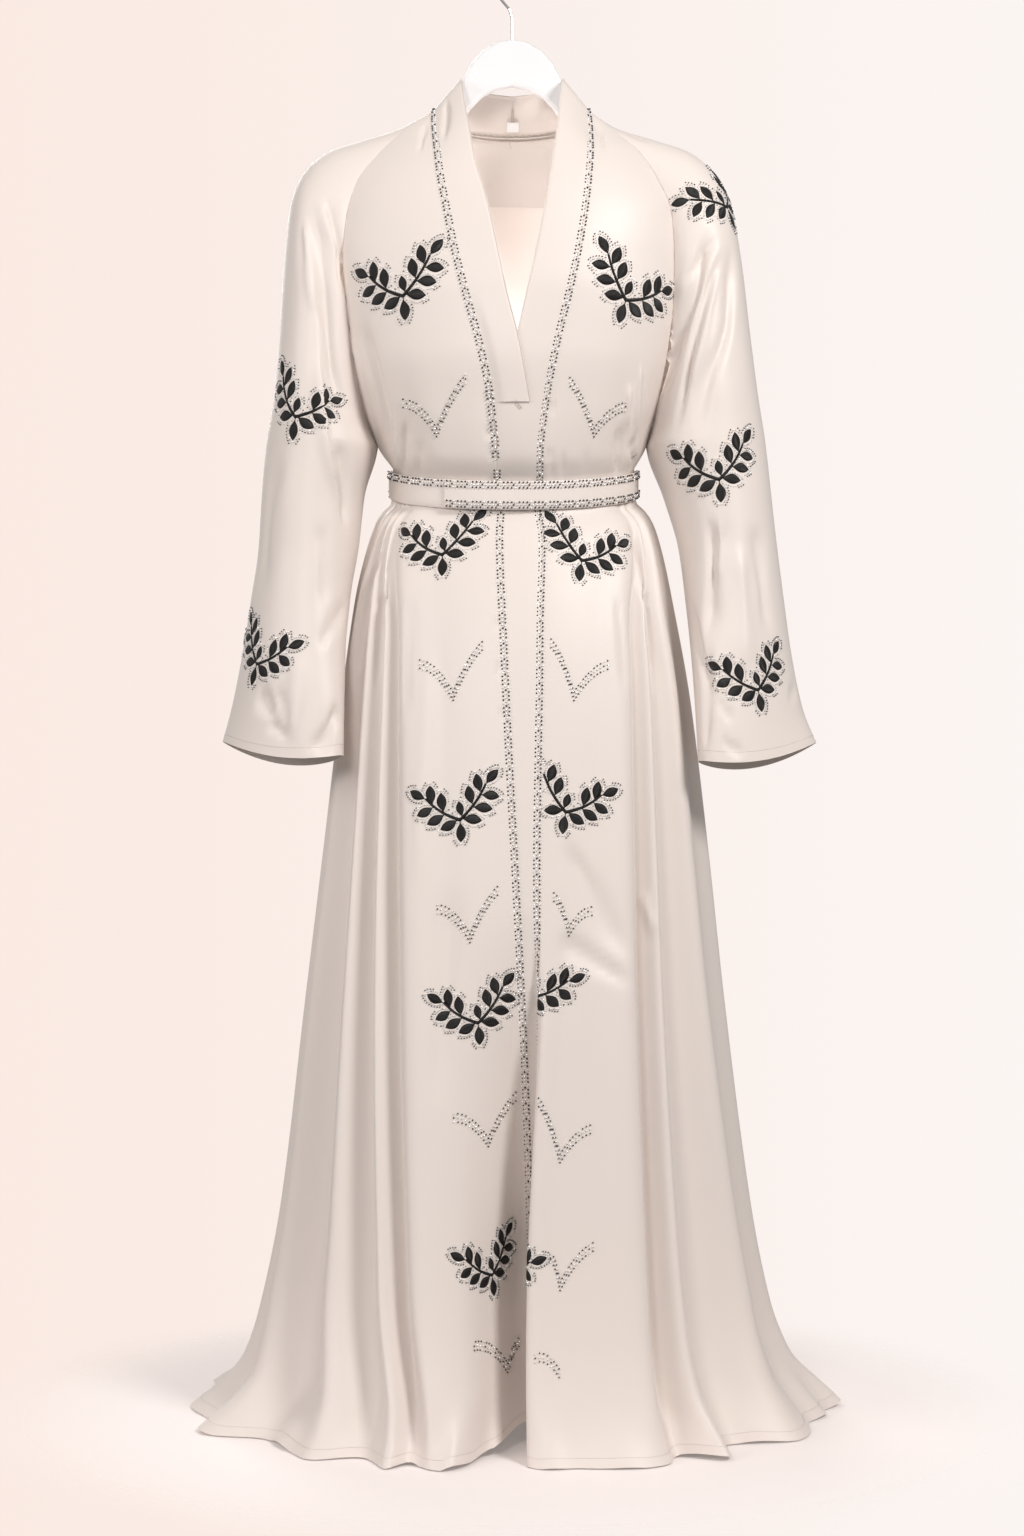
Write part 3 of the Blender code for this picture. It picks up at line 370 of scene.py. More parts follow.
def back_rows(levels, u):
    """Rows across the upper back, from the viewer's left at u = -1 to the right at 1."""
    z = levels[:, None]
    full, back_x = upper("full", levels), upper("back_x", levels)
    below = ease((UPPER.data[UNDERARM, 0] + 0.006 - z) / 0.006)
    left = back_x + (-upper("front_l", levels) - back_x) * below
    right = back_x + (upper("front_r", levels) - back_x) * below
    x = np.where(u < 0, left, right) * ((1 - full) * u + full * np.sin(u * np.pi / 2))
    rise = (1 - full) * (1 - u**2) + full * np.cos(u * np.pi / 2)
    y = upper("back_y", levels)
    y = y + (upper("centre_y", levels) - y) * rise + gathers(np.abs(u), z, 3)
    drop = BACK_NECK_DROP * (1 - ease((UPPER.data[0, 0] - z) / 0.09))
    return np.stack([x, y, z - drop * (1 - u**2)], axis=-1)


def spread(angles, levels):
    """Column shares: even at the neck, at the waist as the skirt's fold lines have them."""
    even = np.linspace(0, 1, len(angles))
    waist = (angles - angles[0]) / (angles[-1] - angles[0])
    return even + (waist - even) * ease((-0.36 - levels) / 0.19)[:, None]


def waist_angles(first, last, steps):
    """The skirt's column angles just below the belt, in degrees."""
    lines = np.append(FOLDS.column("waist"), FOLDS.column("waist")[0] + 360)
    return np.interp(np.arange(first * steps, last * steps + 1) / steps, np.arange(len(lines)), lines)


key_levels = UPPER.data[:, 0]
upper_levels = np.concatenate([np.linspace(a, b, n, endpoint=False) for a, b, n in zip(
    key_levels[:-1], key_levels[1:], (5, 6, 7, 8, 9, 10, 11, 10, 9, 5))] + [key_levels[-1:]])
print(len(upper_levels), "rows above the belt")

# %% [markdown]
# ## The sleeves
#
# A raglan sleeve is one piece from the neck to the cuff, closed by a seam under the arm.
# Every row is part of an ellipse about the arm: open on the raglan, where it stops at the
# two armhole seams, and a full turn below the underarm.

# %% Sleeve rows
SLEEVE_COLUMNS, CUFF = 128, UNDERARM + len(ARM.data)


def sleeve_rows(side, stations, u):
    """Rows round a sleeve; station 0 is the neck, then UNDERARM and CUFF.

    A point is outer - along + along cos t + across sin t, with t from -reach to reach.
    Along leads from the ellipse's centre to the sleeve's outer edge, across to its back.
    """
    sign = -1 if side == "_l" else 1
    rows = []
    for k in range(UNDERARM + 1):
        row = dict(zip(UPPER.names, UPPER.data[k]))
        front = np.array([row["front" + side], row["front_y"], row["z"]])
        back = np.array([sign * row["back_x"], row["back_y"], row["z"]])
        if k == UNDERARM:
            front[0] = back[0] = sign * (abs(front[0]) + 0.6 * MM)
        middle = (front + back) / 2
        outer = np.array([RAGLAN.column("outer" + side)[k], middle[1], RAGLAN.column("outer_z")[k]])
        reach = math.radians(RAGLAN.column("reach")[k])
        along = (outer - middle) / (1 - math.cos(reach))
        across = (back - front) / 2 / math.sin(reach) if k < UNDERARM else np.array([0, UNDERARM_DEPTH, 0])
        t = (reach * u)[:, None]
        rows.append(outer - along + along * np.cos(t) + across * np.sin(t))
    for values in ARM.data:
        row = dict(zip(ARM.names, values))
        outer = np.array([row["outer" + side], row["turn"] - row["forward"], row["outer_z" + side]])
        inner = np.array([row["inner" + side], -row["turn"] - row["forward"], row["inner_z" + side]])
        t = (np.pi * u)[:, None]
        centre, along = (outer + inner) / 2, (outer - inner) / 2
        ring = centre + along * np.cos(t) + np.array([0, row["half_depth"], 0]) * np.sin(t)
        low = ease((-0.74 - centre[2]) / 0.11)
        ring[:, 2] -= low * (CUFF_SAG * np.sin(t[:, 0])**2 + CUFF_TILT * np.sin(t[:, 0]))
        rows.append(ring)
    grid = smooth(np.arange(len(rows)), np.array(rows), stations)
    # On the raglan, pull both borders exactly onto the armhole seams of front and back
    open_rows = stations <= UNDERARM
    levels = smooth(np.arange(len(UPPER.data)), UPPER.data[:, 0], stations[open_rows])
    seams = [np.stack([UPPER.at("front" + side, levels), UPPER.at("front_y", levels), levels], axis=-1),
             np.stack([sign * UPPER.at("back_x", levels), UPPER.at("back_y", levels), levels], axis=-1)]
    for seam, column, pull in ((seams[0], 0, (1 - u) / 2), (seams[1], -1, (1 + u) / 2)):
        miss = seam - grid[open_rows, column]
        grid[open_rows] += miss[:, None] * (pull**3)[None, :, None]
    return grid


raglan_stations = np.interp(-upper_levels, -key_levels, np.arange(len(key_levels)))
raglan_stations = raglan_stations[raglan_stations <= UNDERARM]
stations = np.concatenate([raglan_stations, np.linspace(UNDERARM, CUFF, 54)[1:]])
print(len(stations), "rows down a sleeve")

# %% [markdown]
# ## The neck band
#
# The band is a straight strip sewn round the neck. It stands up behind the hanger, turns
# flat over the shoulders and crosses at the front. The viewer's right half runs on down
# the centre front as the strip between the two fronts; the other half ends on top of it.

# %% Band rows
BAND_COLUMNS = 18


def band_rows(side, seam, neck_rows, levels, u):
    """Rows from the seam (u = 0) to the free edge (u = 1): the neck first, then the front.

    Round the neck the free edge follows its own curve by share of the run; down the front
    both halves lie on one bowed sheet, so that they cross without cutting each other.
    """
    sign = -1 if side == "_l" else 1
    neck = seam[:neck_rows]
    run = lengths_along(neck)
    share = run / run[-1]
    edge = np.stack([sign * BAND_NECK_TOP.at("x", share), BAND_NECK_TOP.at("y", share),
                     BAND_NECK_TOP.at("z", share)], axis=-1)
    u = u[None, :, None]
    upright = neck[:, None] + (edge - neck)[:, None] * u
    upright[..., 1] -= BAND_CROWN * 2 * (u * (1 - u))[..., 0]
    start = seam[neck_rows:]
    held = np.maximum(levels, BAND_FOOT)
    end = np.stack([BAND_FRONT.at("edge" + side, held), BAND_FRONT.at("edge_y", held),
                    BAND_FRONT.at("edge_z", held)], axis=-1)
    if side == "_r":
        below = ease((BAND_FOOT + FOOT_EASE - levels) / FOOT_EASE)[:, None]
        other = np.stack([UPPER.at("neck_l", levels), UPPER.at("neck_y", levels), levels], axis=-1)
        end = end + (other - end) * below
    flat = start[:, None] + (end - start)[:, None] * u
    left, right = upper("neck_l", levels), upper("neck_r", levels)
    row = np.interp(-levels, -key_levels, np.arange(len(key_levels)))[:, None]
    bow = BAND_BOW * (1 - ease((row - 7.5) / 3.5))
    bowed = start[:, 1:2] - bow * (1 - ((flat[..., 0] - (left + right) / 2) / ((right - left) / 2))**2)
    lower = ease((row - 3) / 2)
    flat[..., 1] += (bowed - flat[..., 1]) * lower - BAND_CROWN * 2 * (u * (1 - u))[..., 0] * (1 - lower)
    flat[..., 2] -= waist_dip(levels)[:, None]
    return np.concatenate([upright, flat])


# %% [markdown]
# ## Joining the pieces
#
# Fronts, back and strip are computed with shared rows, so that the points of a side seam
# are the same on both sides of it. A sleeve's borders lie on the same raglan curves, but
# with points of their own. Extra columns beside each seam leave room for the small groove
# that sewing presses into satin.

# %% Grids of all the cloth pieces
def with_margins(grid, axis, sides, distances):
    """Extra lines of points at the given distances from one or both ends of a grid."""
    for side in sides:
        edge, inside = (grid.take(0, axis), grid.take(1, axis)) if side == 0 else (
            grid.take(-1, axis), grid.take(-2, axis))
        room = np.linalg.norm(inside - edge, axis=-1, keepdims=True)
        lines = [edge + (inside - edge) * np.minimum(d / np.maximum(room, 1e-9), 0.25 + 0.2 * n)
                 for n, d in enumerate(distances)]
        lines = np.stack(lines if side == 0 else lines[::-1], axis=axis)
        cut = 1 if side == 0 else grid.shape[axis] - 1
        grid = np.concatenate([grid.take(range(cut), axis), lines,
                               grid.take(range(cut, grid.shape[axis]), axis)], axis=axis)
    return grid


front_steps, back_steps = 10, 7
left_angles = waist_angles(0, LEFT_SEAM, front_steps)
right_angles = waist_angles(RIGHT_SEAM, LAST_FOLD - 1, front_steps)
back_angles = waist_angles(LEFT_SEAM, RIGHT_SEAM, back_steps)
left_share = spread(left_angles, upper_levels)
right_share = 1 - spread(right_angles, upper_levels)
back_share = 2 * spread(back_angles, upper_levels) - 1
round_sleeve = np.linspace(-1, 1, SLEEVE_COLUMNS + 1)

grids = {
    "front_right": np.concatenate([front_rows("_l", upper_levels, left_share),
                                   skirt_rows(0, LEFT_SEAM, skirt_levels, front_steps)]),
    "front_left": np.concatenate([front_rows("_r", upper_levels, right_share),
                                  skirt_rows(RIGHT_SEAM, LAST_FOLD - 1, skirt_levels, front_steps)]),
    "back": np.concatenate([back_rows(upper_levels, back_share),
                            skirt_rows(LEFT_SEAM, RIGHT_SEAM, skirt_levels, back_steps)]),
    "sleeve_right": sleeve_rows("_l", stations, round_sleeve),
    "sleeve_left": sleeve_rows("_r", stations, round_sleeve)[:, ::-1],
}
band_share = np.linspace(0, 1, BAND_COLUMNS + 1)
middle = grids["back"].shape[1] // 2
for side, name in (("_l", "band_right"), ("_r", "band_left")):
    sleeve = grids["sleeve_right"] if side == "_l" else grids["sleeve_left"][:, ::-1]
    nape = grids["back"][0, middle::-1] if side == "_l" else grids["back"][0, middle:]
    neck_seam = np.concatenate([nape[::3], sleeve[0, ::-1][2::4]])
    used = upper_levels[upper_levels >= BAND_FOOT - 1e-9] if side == "_l" else upper_levels
    front_seam = np.stack([UPPER.at("neck" + side, used), UPPER.at("neck_y", used), used], axis=-1)
    rows = band_rows(side, np.concatenate([neck_seam, front_seam]), len(neck_seam), used, band_share)
    if side == "_l":
        rows[..., 1] -= BAND_LIFT * ease((-0.37 - rows[:, :1, 2]) / 0.05) * ease((band_share - 0.10) / 0.25)
        grids[name] = rows[:, ::-1]
    else:
        strip = skirt_rows(LAST_FOLD - 1, LAST_FOLD, skirt_levels, BAND_COLUMNS)
        grids[name] = np.concatenate([rows, strip])

for name, grid in grids.items():
    grid = with_margins(grid, 1, (0, 1), (0.9 * MM, 2.4 * MM))
    grids[name] = with_margins(grid, 0, (1,), (0.8 * MM,))
    print(name, grids[name].shape[:2])

# %% Common normals at the seams
def own_normals(grid):
    """Across x down at every point, where both are central differences."""
    return unit(np.cross(np.gradient(grid, axis=1), np.gradient(grid, axis=0)))


def rim(grid):
    """Flat indices round a grid's border, in the direction of its faces."""
    index = np.arange(grid.shape[0] * grid.shape[1]).reshape(grid.shape[:2])
    return np.concatenate([index[0, :-1], index[:-1, -1], index[-1, :0:-1], index[:0:-1, 0]])


def joined_normals(pieces):
    """Own normals, with one common direction wherever borders meet at a point."""
    normals = {name: own_normals(grid) for name, grid in pieces.items()}
    names, spots, ways = [], [], []
    for name, grid in pieces.items():
        border = rim(grid)
        names.append((name, border))
        spots.append(grid.reshape(-1, 3)[border])
        ways.append(normals[name].reshape(-1, 3)[border])
    spots, ways = np.concatenate(spots), np.concatenate(ways)
    group = np.unique(np.round(spots / (0.4 * MM)).astype(int), axis=0, return_inverse=True)[1].ravel()
    total = np.zeros((group.max() + 1, 3))
    np.add.at(total, group, ways)
    shared = unit(total)[group]
    agree = (shared * ways).sum(axis=1) > 0.35
    shared = np.where(agree[:, None], shared, ways)
    place = 0
    for name, border in names:
        normals[name].reshape(-1, 3)[border] = shared[place:place + len(border)]
        place += len(border)
    return normals


normals = joined_normals(grids)
print("normals for", len(normals), "pieces")

# %% [markdown]
# ## Creases
#
# The large folds are in the tables above. The smaller ones are given one by one: each is a
# line of picture points, found on the cloth by sight, and a depth and width in mm. The
# cloth sinks or rises beside the line in a soft bell, steeper on one side, that fades at
# both ends. Where two borders share their points both move alike, and the seam stays
# shut. On the raglan they don't, so a crease there parts the pieces by up to 6 mm.

# %% Crease lines
CREASES = [
    # depth, width, lean, behind, points
    (-9.0, 17, 0.3, False, [(310, 193), (313, 215), (322, 250), (328, 300), (335, 370), (350, 430)]),
    (-6.0, 9, -0.2, False, [(325, 193), (333, 220), (340, 250), (345, 300)]),
    (4.0, 9, 0.0, False, [(303, 215), (309, 265), (315, 320)]),
    (5.5, 8, 0.6, False, [(318, 350), (321, 380), (329, 450), (335, 480), (342, 515)]),
    (-7.0, 11, -0.3, False, [(335, 440), (343, 480), (345, 530)]),
    (-6.0, 12, 0.2, False, [(361, 318), (372, 355), (383, 400), (390, 440), (397, 470)]),
    (3.5, 10, 0.0, False, [(350, 325), (358, 360), (370, 410), (382, 455)]),
    (-4.5, 6, 0.3, False, [(407, 420), (405, 445), (403, 476)]),
    (-3.0, 5, 0.0, False, [(420, 440), (419, 478)]),
    (3.0, 6, 0.0, False, [(395, 430), (396, 474)]),
    (-3.2, 6, 0.0, False, [(447, 99), (446, 120), (443, 142)]),
    (-2.2, 6, 0.0, False, [(426, 124), (422, 138), (420, 152)]),
    (-3.0, 12, 0.0, False, [(320, 520), (324, 560), (327, 615)]),
    (-4.0, 12, -0.4, False, [(318, 648), (340, 618), (347, 600)]),
    (-5.5, 12, 0.3, False, [(262, 688), (267, 702), (275, 716)]),
    (-3.5, 8, 0.3, False, [(270, 720), (279, 729), (289, 736)]),
    (-6.0, 15, -0.4, False, [(341, 703), (325, 733), (311, 756)]),
    (-2.2, 6, 0.0, False, [(275, 690), (285, 706)]),
    (4.0, 15, 0.0, False, [(300, 650), (296, 700), (292, 745)]),
    (-3.0, 18, 0.0, False, [(278, 450), (268, 520), (262, 600)]),
    (-8.0, 15, 0.3, False, [(715, 222), (705, 250), (697, 290), (685, 320), (675, 350), (668, 375),
                            (658, 410)]),
    (-3.5, 6, 0.0, False, [(722, 235), (700, 260), (680, 285)]),
    (-5.5, 8, -0.3, False, [(725, 245), (718, 265), (705, 300), (697, 330), (688, 370), (680, 410),
                            (676, 440)]),
    (-6.5, 15, 0.3, False, [(730, 240), (732, 280), (730, 320), (722, 350), (712, 370), (703, 400),
                            (697, 440)]),
    (4.0, 8, 0.0, False, [(722, 262), (710, 305), (700, 350), (690, 400)]),
    (-4.5, 7, 0.0, False, [(618, 425), (618, 450), (617, 476)]),
    (-4.5, 7, 0.3, False, [(632, 438), (634, 455), (635, 476)]),
    (3.5, 7, 0.0, False, [(630, 385), (627, 410), (625, 432)]),
    (3.0, 6, 0.0, False, [(641, 362), (638, 400), (635, 440)]),
    (-2.5, 10, 0.0, False, [(605, 122), (625, 130), (645, 141)]),
    (-2.2, 6, 0.0, False, [(597, 122), (601, 136), (605, 150)]),
    (-1.2, 5, 0.0, False, [(552, 458), (551, 478)]),
    (-1.3, 5, 0.0, False, [(563, 450), (563, 477)]),
    (-1.4, 5, 0.0, False, [(586, 450), (585, 476)]),
    (-7.0, 14, -0.6, False, [(710, 515), (711, 550), (709, 600), (706, 645)]),
    (3.5, 7, 0.0, False, [(720, 518), (720, 545), (718, 585)]),
    (-3.5, 11, 0.0, False, [(709, 645), (708, 700), (705, 758)]),
    (-5.0, 11, 0.4, False, [(690, 600), (700, 648), (710, 690)]),
    (-3.0, 7, 0.0, False, [(715, 700), (725, 711), (735, 721)]),
    (-3.0, 7, 0.0, False, [(720, 740), (733, 748), (745, 755)]),
    (-3.0, 6, 0.0, False, [(796, 686), (792, 694), (788, 701)]),
    (-4.5, 15, 0.0, False, [(755, 520), (765, 600), (770, 640)]),
    (4.0, 16, 0.0, False, [(738, 540), (744, 620), (746, 680)]),
    (-5.0, 20, 0.3, False, [(565, 838), (582, 870), (600, 905), (635, 965)]),
    (-4.5, 16, 0.3, False, [(556, 935), (578, 948), (600, 962), (635, 985)]),
    (3.0, 10, 0.0, False, [(640, 892), (648, 912), (655, 935)]),
    (-3.6, 8, 0.3, False, [(391, 520), (382, 545), (372, 590), (364, 650), (356, 700)]),
    (-3.4, 8, 0.0, False, [(398, 520), (390, 560), (382, 620), (377, 700)]),
    (-2.6, 9, 0.0, False, [(412, 590), (408, 650), (405, 730)]),
    (-3.6, 9, 0.0, False, [(628, 520), (636, 560), (645, 600), (655, 700)]),
    (-3.0, 8, 0.0, False, [(616, 590), (622, 640), (626, 700)]),
    (2.4, 14, 0.0, False, [(430, 640), (424, 760), (415, 900)]),
    (-3.0, 20, 0.0, False, [(450, 880), (444, 1000), (436, 1120)]),
    (-2.5, 5, 0.0, False, [(484, 432), (497, 434)]),
    (-2.2, 5, 0.0, False, [(486, 452), (498, 455)]),
    (-2.2, 5, 0.0, False, [(492, 585), (504, 590)]),
    (-2.6, 5, 0.0, False, [(493, 622), (505, 628)]),
    (-2.2, 5, 0.0, False, [(495, 668), (507, 672)]),
    (-2.4, 5, 0.0, False, [(496, 712), (508, 718)]),
    (-2.0, 5, 0.0, False, [(546, 404), (558, 409)]),
    (-2.0, 5, 0.0, False, [(544, 455), (557, 457)]),
    (-8.0, 16, 0.3, True, [(312, 195), (320, 250), (328, 320), (338, 400), (350, 450)]),
    (-6.0, 11, 0.0, True, [(330, 210), (345, 280), (352, 350)]),
    (4.0, 9, 0.0, True, [(306, 240), (316, 330), (326, 420)]),
    (-8.0, 15, -0.3, True, [(713, 215), (700, 280), (688, 350), (672, 430)]),
    (-6.0, 12, 0.2, True, [(728, 250), (724, 330), (708, 410)]),
    (-5.0, 14, 0.0, True, [(420, 250), (408, 330), (402, 410), (404, 470)]),
    (-5.0, 14, 0.0, True, [(605, 250), (618, 330), (622, 410), (618, 470)]),
    (-3.5, 9, 0.0, True, [(470, 400), (468, 475)]),
    (-3.5, 9, 0.0, True, [(556, 400), (558, 475)]),
    (-5.0, 14, 0.2, True, [(320, 520), (330, 600), (325, 700)]),
    (-5.0, 14, 0.0, True, [(700, 520), (694, 600), (704, 700)]),
    (-4.0, 12, 0.0, True, [(270, 700), (285, 740)]),
    (-4.0, 10, 0.0, True, [(440, 560), (425, 680), (415, 820)]),
    (-4.0, 10, 0.0, True, [(590, 560), (604, 680), (612, 820)]),
]


def grid_faces(rows, columns):
    """Four corners a face, turned so that the normal is across x down."""
    i, j = np.meshgrid(np.arange(rows - 1), np.arange(columns - 1), indexing="ij")
    corner = (i * columns + j).ravel()
    return np.stack([corner, corner + 1, corner + columns + 1, corner + columns], axis=1)


def cloth_tree(pieces):
    """All pieces as triangles in one tree, so that a sight line finds the nearest cloth."""
    points, faces, count = [], [], 0
    for grid in pieces.values():
        quad = grid_faces(*grid.shape[:2]) + count
        points.append(grid.reshape(-1, 3))
        faces.append(np.concatenate([quad[:, [0, 1, 2]], quad[:, [0, 2, 3]]]))
        count += grid.shape[0] * grid.shape[1]
    return BVHTree.FromPolygons(np.concatenate(points).tolist(), np.concatenate(faces).tolist())


def crease_line(tree, points, behind):
    """The cloth under a smooth line of picture points, about 5 mm apart, with its normals."""
    points = np.array(points, float)
    along = lengths_along(points)
    at = np.linspace(0, along[-1], max(int(along[-1] / 4), 4))
    spots = smooth(along, points, at)
    found = []
    for across, down in spots:
        eye, aim = sight_line(across, down, behind)
        hit, way, _, _ = tree.ray_cast(eye, aim)
        if hit is not None:
            found.append([*hit, *(way if way.dot(aim) < 0 else -way)])
    found = np.array(found)
    keep = np.abs(np.diff(found[:, 1], prepend=found[0, 1])) < 30 * MM
    return found[keep]


def crease_push(grid, normal, line, depth, width, lean, phase):
    """How far each point moves along its normal for one crease, in metres."""
    places, ways = line[:, :3], line[:, 3:]
    reach = 2.8 * width * MM
    low, high = places.min(axis=0) - reach, places.max(axis=0) + reach
    near = np.all((grid > low) & (grid < high), axis=-1)
    push = np.zeros(grid.shape[:2])
    points, facing = grid[near], normal[near]
    if len(points) == 0:
        return push
    start, step = places[:-1], np.diff(places, axis=0)
    offset = points[:, None] - start[None]
    share = np.clip((offset * step).sum(-1) / np.maximum((step**2).sum(-1), 1e-12), 0, 1)
    gap = offset - share[..., None] * step
    size = np.linalg.norm(gap, axis=-1)
    nearest = size.argmin(axis=1)
    row = np.arange(len(points))
    distance, gap = size[row, nearest], gap[row, nearest]
    along = (nearest + share[row, nearest]) / len(step)
    side = np.sign((np.cross(unit(step[nearest]), ways[nearest]) * gap).sum(-1))
    wide = width * MM * (1 + lean * side) * (0.85 + 0.25 * np.sin(7 * along + phase))
    ends = ease(along / 0.22) * ease((1 - along) / 0.28)
    agree = ease(((facing * ways[nearest]).sum(-1) - 0.1) / 0.5)
    push[near] = depth * MM * np.exp(-((distance / wide * 1.5) ** 2)) * ends * agree
    return push


cloth = cloth_tree(grids)
pushes = {name: np.zeros(grid.shape[:2]) for name, grid in grids.items()}
for order, (depth, width, lean, behind, points) in enumerate(CREASES):
    line = crease_line(cloth, points, behind)
    if len(line) < 3:
        print("no cloth under", points[0])
        continue
    for name, grid in grids.items():
        pushes[name] += crease_push(grid, normals[name], line, depth, width, lean, 1.7 * order)
grids = {name: grid + normals[name] * pushes[name][..., None] for name, grid in grids.items()}
normals = joined_normals(grids)
print(len(CREASES), "creases")

# %% Ripples along the hem
RIPPLE, RIPPLE_HEIGHT, RIPPLE_LIFT = 9.0 * MM, 0.085, 0.5
# No ripples this near to where the fronts meet
FRONT_GAP, GAP_CLEAR = (0.035, -0.17), 0.045


def ripple(grid):
    """Uneven waves by angle round the hem, strongest at the edge, gone RIPPLE_HEIGHT above it."""
    angle = np.arctan2(grid[..., 1], grid[..., 0])
    wave = np.sin(27 * angle + 2.2 * np.sin(4 * angle + 0.6)) * (0.55 + 0.45 * np.sin(7 * angle + 1.1))
    near = ease((HEM + RIPPLE_HEIGHT - grid[..., 2]) / RIPPLE_HEIGHT) ** 2
    distance = np.hypot(grid[..., 0] - FRONT_GAP[0], grid[..., 1] - FRONT_GAP[1])
    return RIPPLE * wave * near * ease((distance - GAP_CLEAR) / 0.03)


for name in ("front_right", "front_left", "back", "band_left"):
    grid = grids[name]
    outward = unit(grid * (1, 1, 0))
    wave = ripple(grid)[..., None]
    grids[name] = grid + outward * wave + np.array([0, 0, RIPPLE_LIFT]) * np.maximum(wave, 0)
normals = joined_normals(grids)

# %% [markdown]
# ## Seams and hems
#
# Sewing draws the cloth in along a seam. The border sinks by half a millimetre, and the
# column beside it by a little.

# %% Grooves
GROOVE = (0.5 * MM, 0.18 * MM)


def groove(name, axis, side, rows=slice(None)):
    """Sinks the border line on one side of a grid and the line next to it."""
    for order, depth in enumerate(GROOVE):
        at = order if side == 0 else -1 - order
        if axis == 1:
            grids[name][rows, at] -= normals[name][rows, at] * depth
        else:
            grids[name][at] -= normals[name][at] * depth


LIP, HOLLOW, LIP_ENDS = 0.35 * MM, 0.6 * MM, BAND_FOOT - 0.03
below_foot = grids["band_left"][:, -1, 2] < LIP_ENDS
for name in ("front_right", "front_left", "back", "sleeve_right", "sleeve_left"):
    for side in (0, 1):
        groove(name, 1, side)
groove("band_left", 1, 0)
groove("band_left", 1, 1, below_foot)
groove("band_right", 1, 1)
normals = joined_normals(grids)
# The free edges of the band are turned and stitched: a raised lip, then a fine hollow
for name, lip, hollow, rows in (("band_right", 1, 2, slice(None)), ("band_left", -2, -3, ~below_foot)):
    grids[name][rows, lip] += normals[name][rows, lip] * LIP
    grids[name][rows, hollow] -= normals[name][rows, hollow] * HOLLOW
normals = joined_normals(grids)

# %% [markdown]
# ## From a grid to thin cloth
#
# A single sheet of faces has no thickness and looks like paper at its edges. Each grid
# therefore becomes a closed shell 0.7 mm thick: the grid, the same points moved in along
# the normals, and a rim that joins the two.

# %% Shells
CLOTH = 0.7 * MM


def mesh_object(name, points, faces, material=None, smooth_faces=True):
    mesh = bpy.data.meshes.new(name)
    mesh.from_pydata(np.asarray(points).tolist(), [], np.asarray(faces).tolist())
    if smooth_faces:
        mesh.shade_smooth()
    if material is not None:
        mesh.materials.append(material)
    piece = bpy.data.objects.new(name, mesh)
    bpy.context.collection.objects.link(piece)
    return piece


def shell(name, grid, normal, wall, material=None):
    """A closed shell: the grid, the grid moved in by the wall, and the rim between them."""
    count = grid.shape[0] * grid.shape[1]
    outer = grid.reshape(-1, 3)
    faces = grid_faces(*grid.shape[:2])
    border = rim(grid)
    after = np.roll(border, -1)
    edge = np.stack([border, border + count, after + count, after], axis=1)
    inner = outer - normal.reshape(-1, 3) * wall
    piece = mesh_object(name, np.concatenate([outer, inner]),
                        np.concatenate([faces, faces[:, ::-1] + count, edge]), material)
    piece.data.set_sharp_from_angle(angle=math.radians(60))
    return piece


def area_of(grid):
    """Half of each face's crossed diagonals, summed."""
    a, b = grid[1:, 1:] - grid[:-1, :-1], grid[1:, :-1] - grid[:-1, 1:]
    return float(np.linalg.norm(np.cross(a, b), axis=-1).sum() / 2)


for name, grid in grids.items():
    print(name, "area", round(area_of(grid), 3), "square metres")

# %% [markdown]
# ## Belt, facing and label
#
# The belt is a flat sash wound once round the waist. Its angle runs past a full turn, and
# the last stretch steps out by one thickness to lie over the start. A facing finishes the
# inside of the back neck, and a small blank ribbon label is sewn into the band.

# %% Grids of the belt, the facing and the label
BELT_WALL, BELT_EASE = 2.2 * MM, 2.2 * MM
BELT_LEVEL = -0.56
belt_angles = np.radians(np.linspace(100, 482, 250))
belt_share = np.array([0, 0.02, 0.06, 0.14, 0.25, 0.38, 0.5, 0.62, 0.75, 0.86, 0.94, 0.98, 1.0])


def belt_grid(angles, share):
    """An ellipse pushed out along its normal, taller than it is thick, with soft edges."""
    over = ease((angles - math.radians(425)) / math.radians(24)) * (BELT_WALL + 0.5 * MM)
    out = (BELT_EASE + BELT_WALL + over)[None] - 1.1 * MM * (np.abs(2 * share - 1) ** 6)[:, None]
    plan = pushed_ellipse(angles, BELT_LEVEL, out)
    height = BELT_TOP - share[:, None] * BELT_HEIGHT - WAIST_DIP * np.maximum(np.sin(angles), 0)[None]
    return np.concatenate([plan, height[..., None]], axis=-1)


belt = belt_grid(belt_angles, belt_share)

facing_levels = np.linspace(UPPER.data[0, 0], UPPER.data[3, 0], 26)
facing_width = smooth(UPPER.data[:4, 0], np.array([12, 9, 6, 4]) / 14, facing_levels)
facing = back_rows(facing_levels, facing_width[:, None] * np.linspace(-1, 1, 61)[None])
facing = facing - own_normals(facing) * 2.4 * MM
facing[0, :, 2] -= 1.0 * MM

seam_point, edge_point = grids["band_left"][0, 0], grids["band_left"][0, -1]
label_up = unit(edge_point - seam_point)
label_in = np.array([0.0, -label_up[2], label_up[1]])
label_in *= -1 if label_in[1] > 0 else 1
LABEL_HALF = (6.5, 5.3)              # half width and half height in mm
label_x = np.linspace(-LABEL_HALF[0], LABEL_HALF[0], 14) * MM
label_z = np.linspace(LABEL_HALF[1], -LABEL_HALF[1], 12) * MM
label_curl = 0.6 * MM * np.cos(label_x / (LABEL_HALF[0] * MM) * 2.4)[None]
label_curl = label_curl * (0.4 + 0.6 * label_z / (LABEL_HALF[1] * MM))[:, None] ** 2
label_grid = (seam_point + label_up * 10 * MM + label_in * 3.7 * MM + np.array([1 * MM, 0, 0])
              + label_z[:, None, None] * label_up + label_x[None, :, None] * np.array([1.0, 0, 0])
              + label_curl[..., None] * label_in)
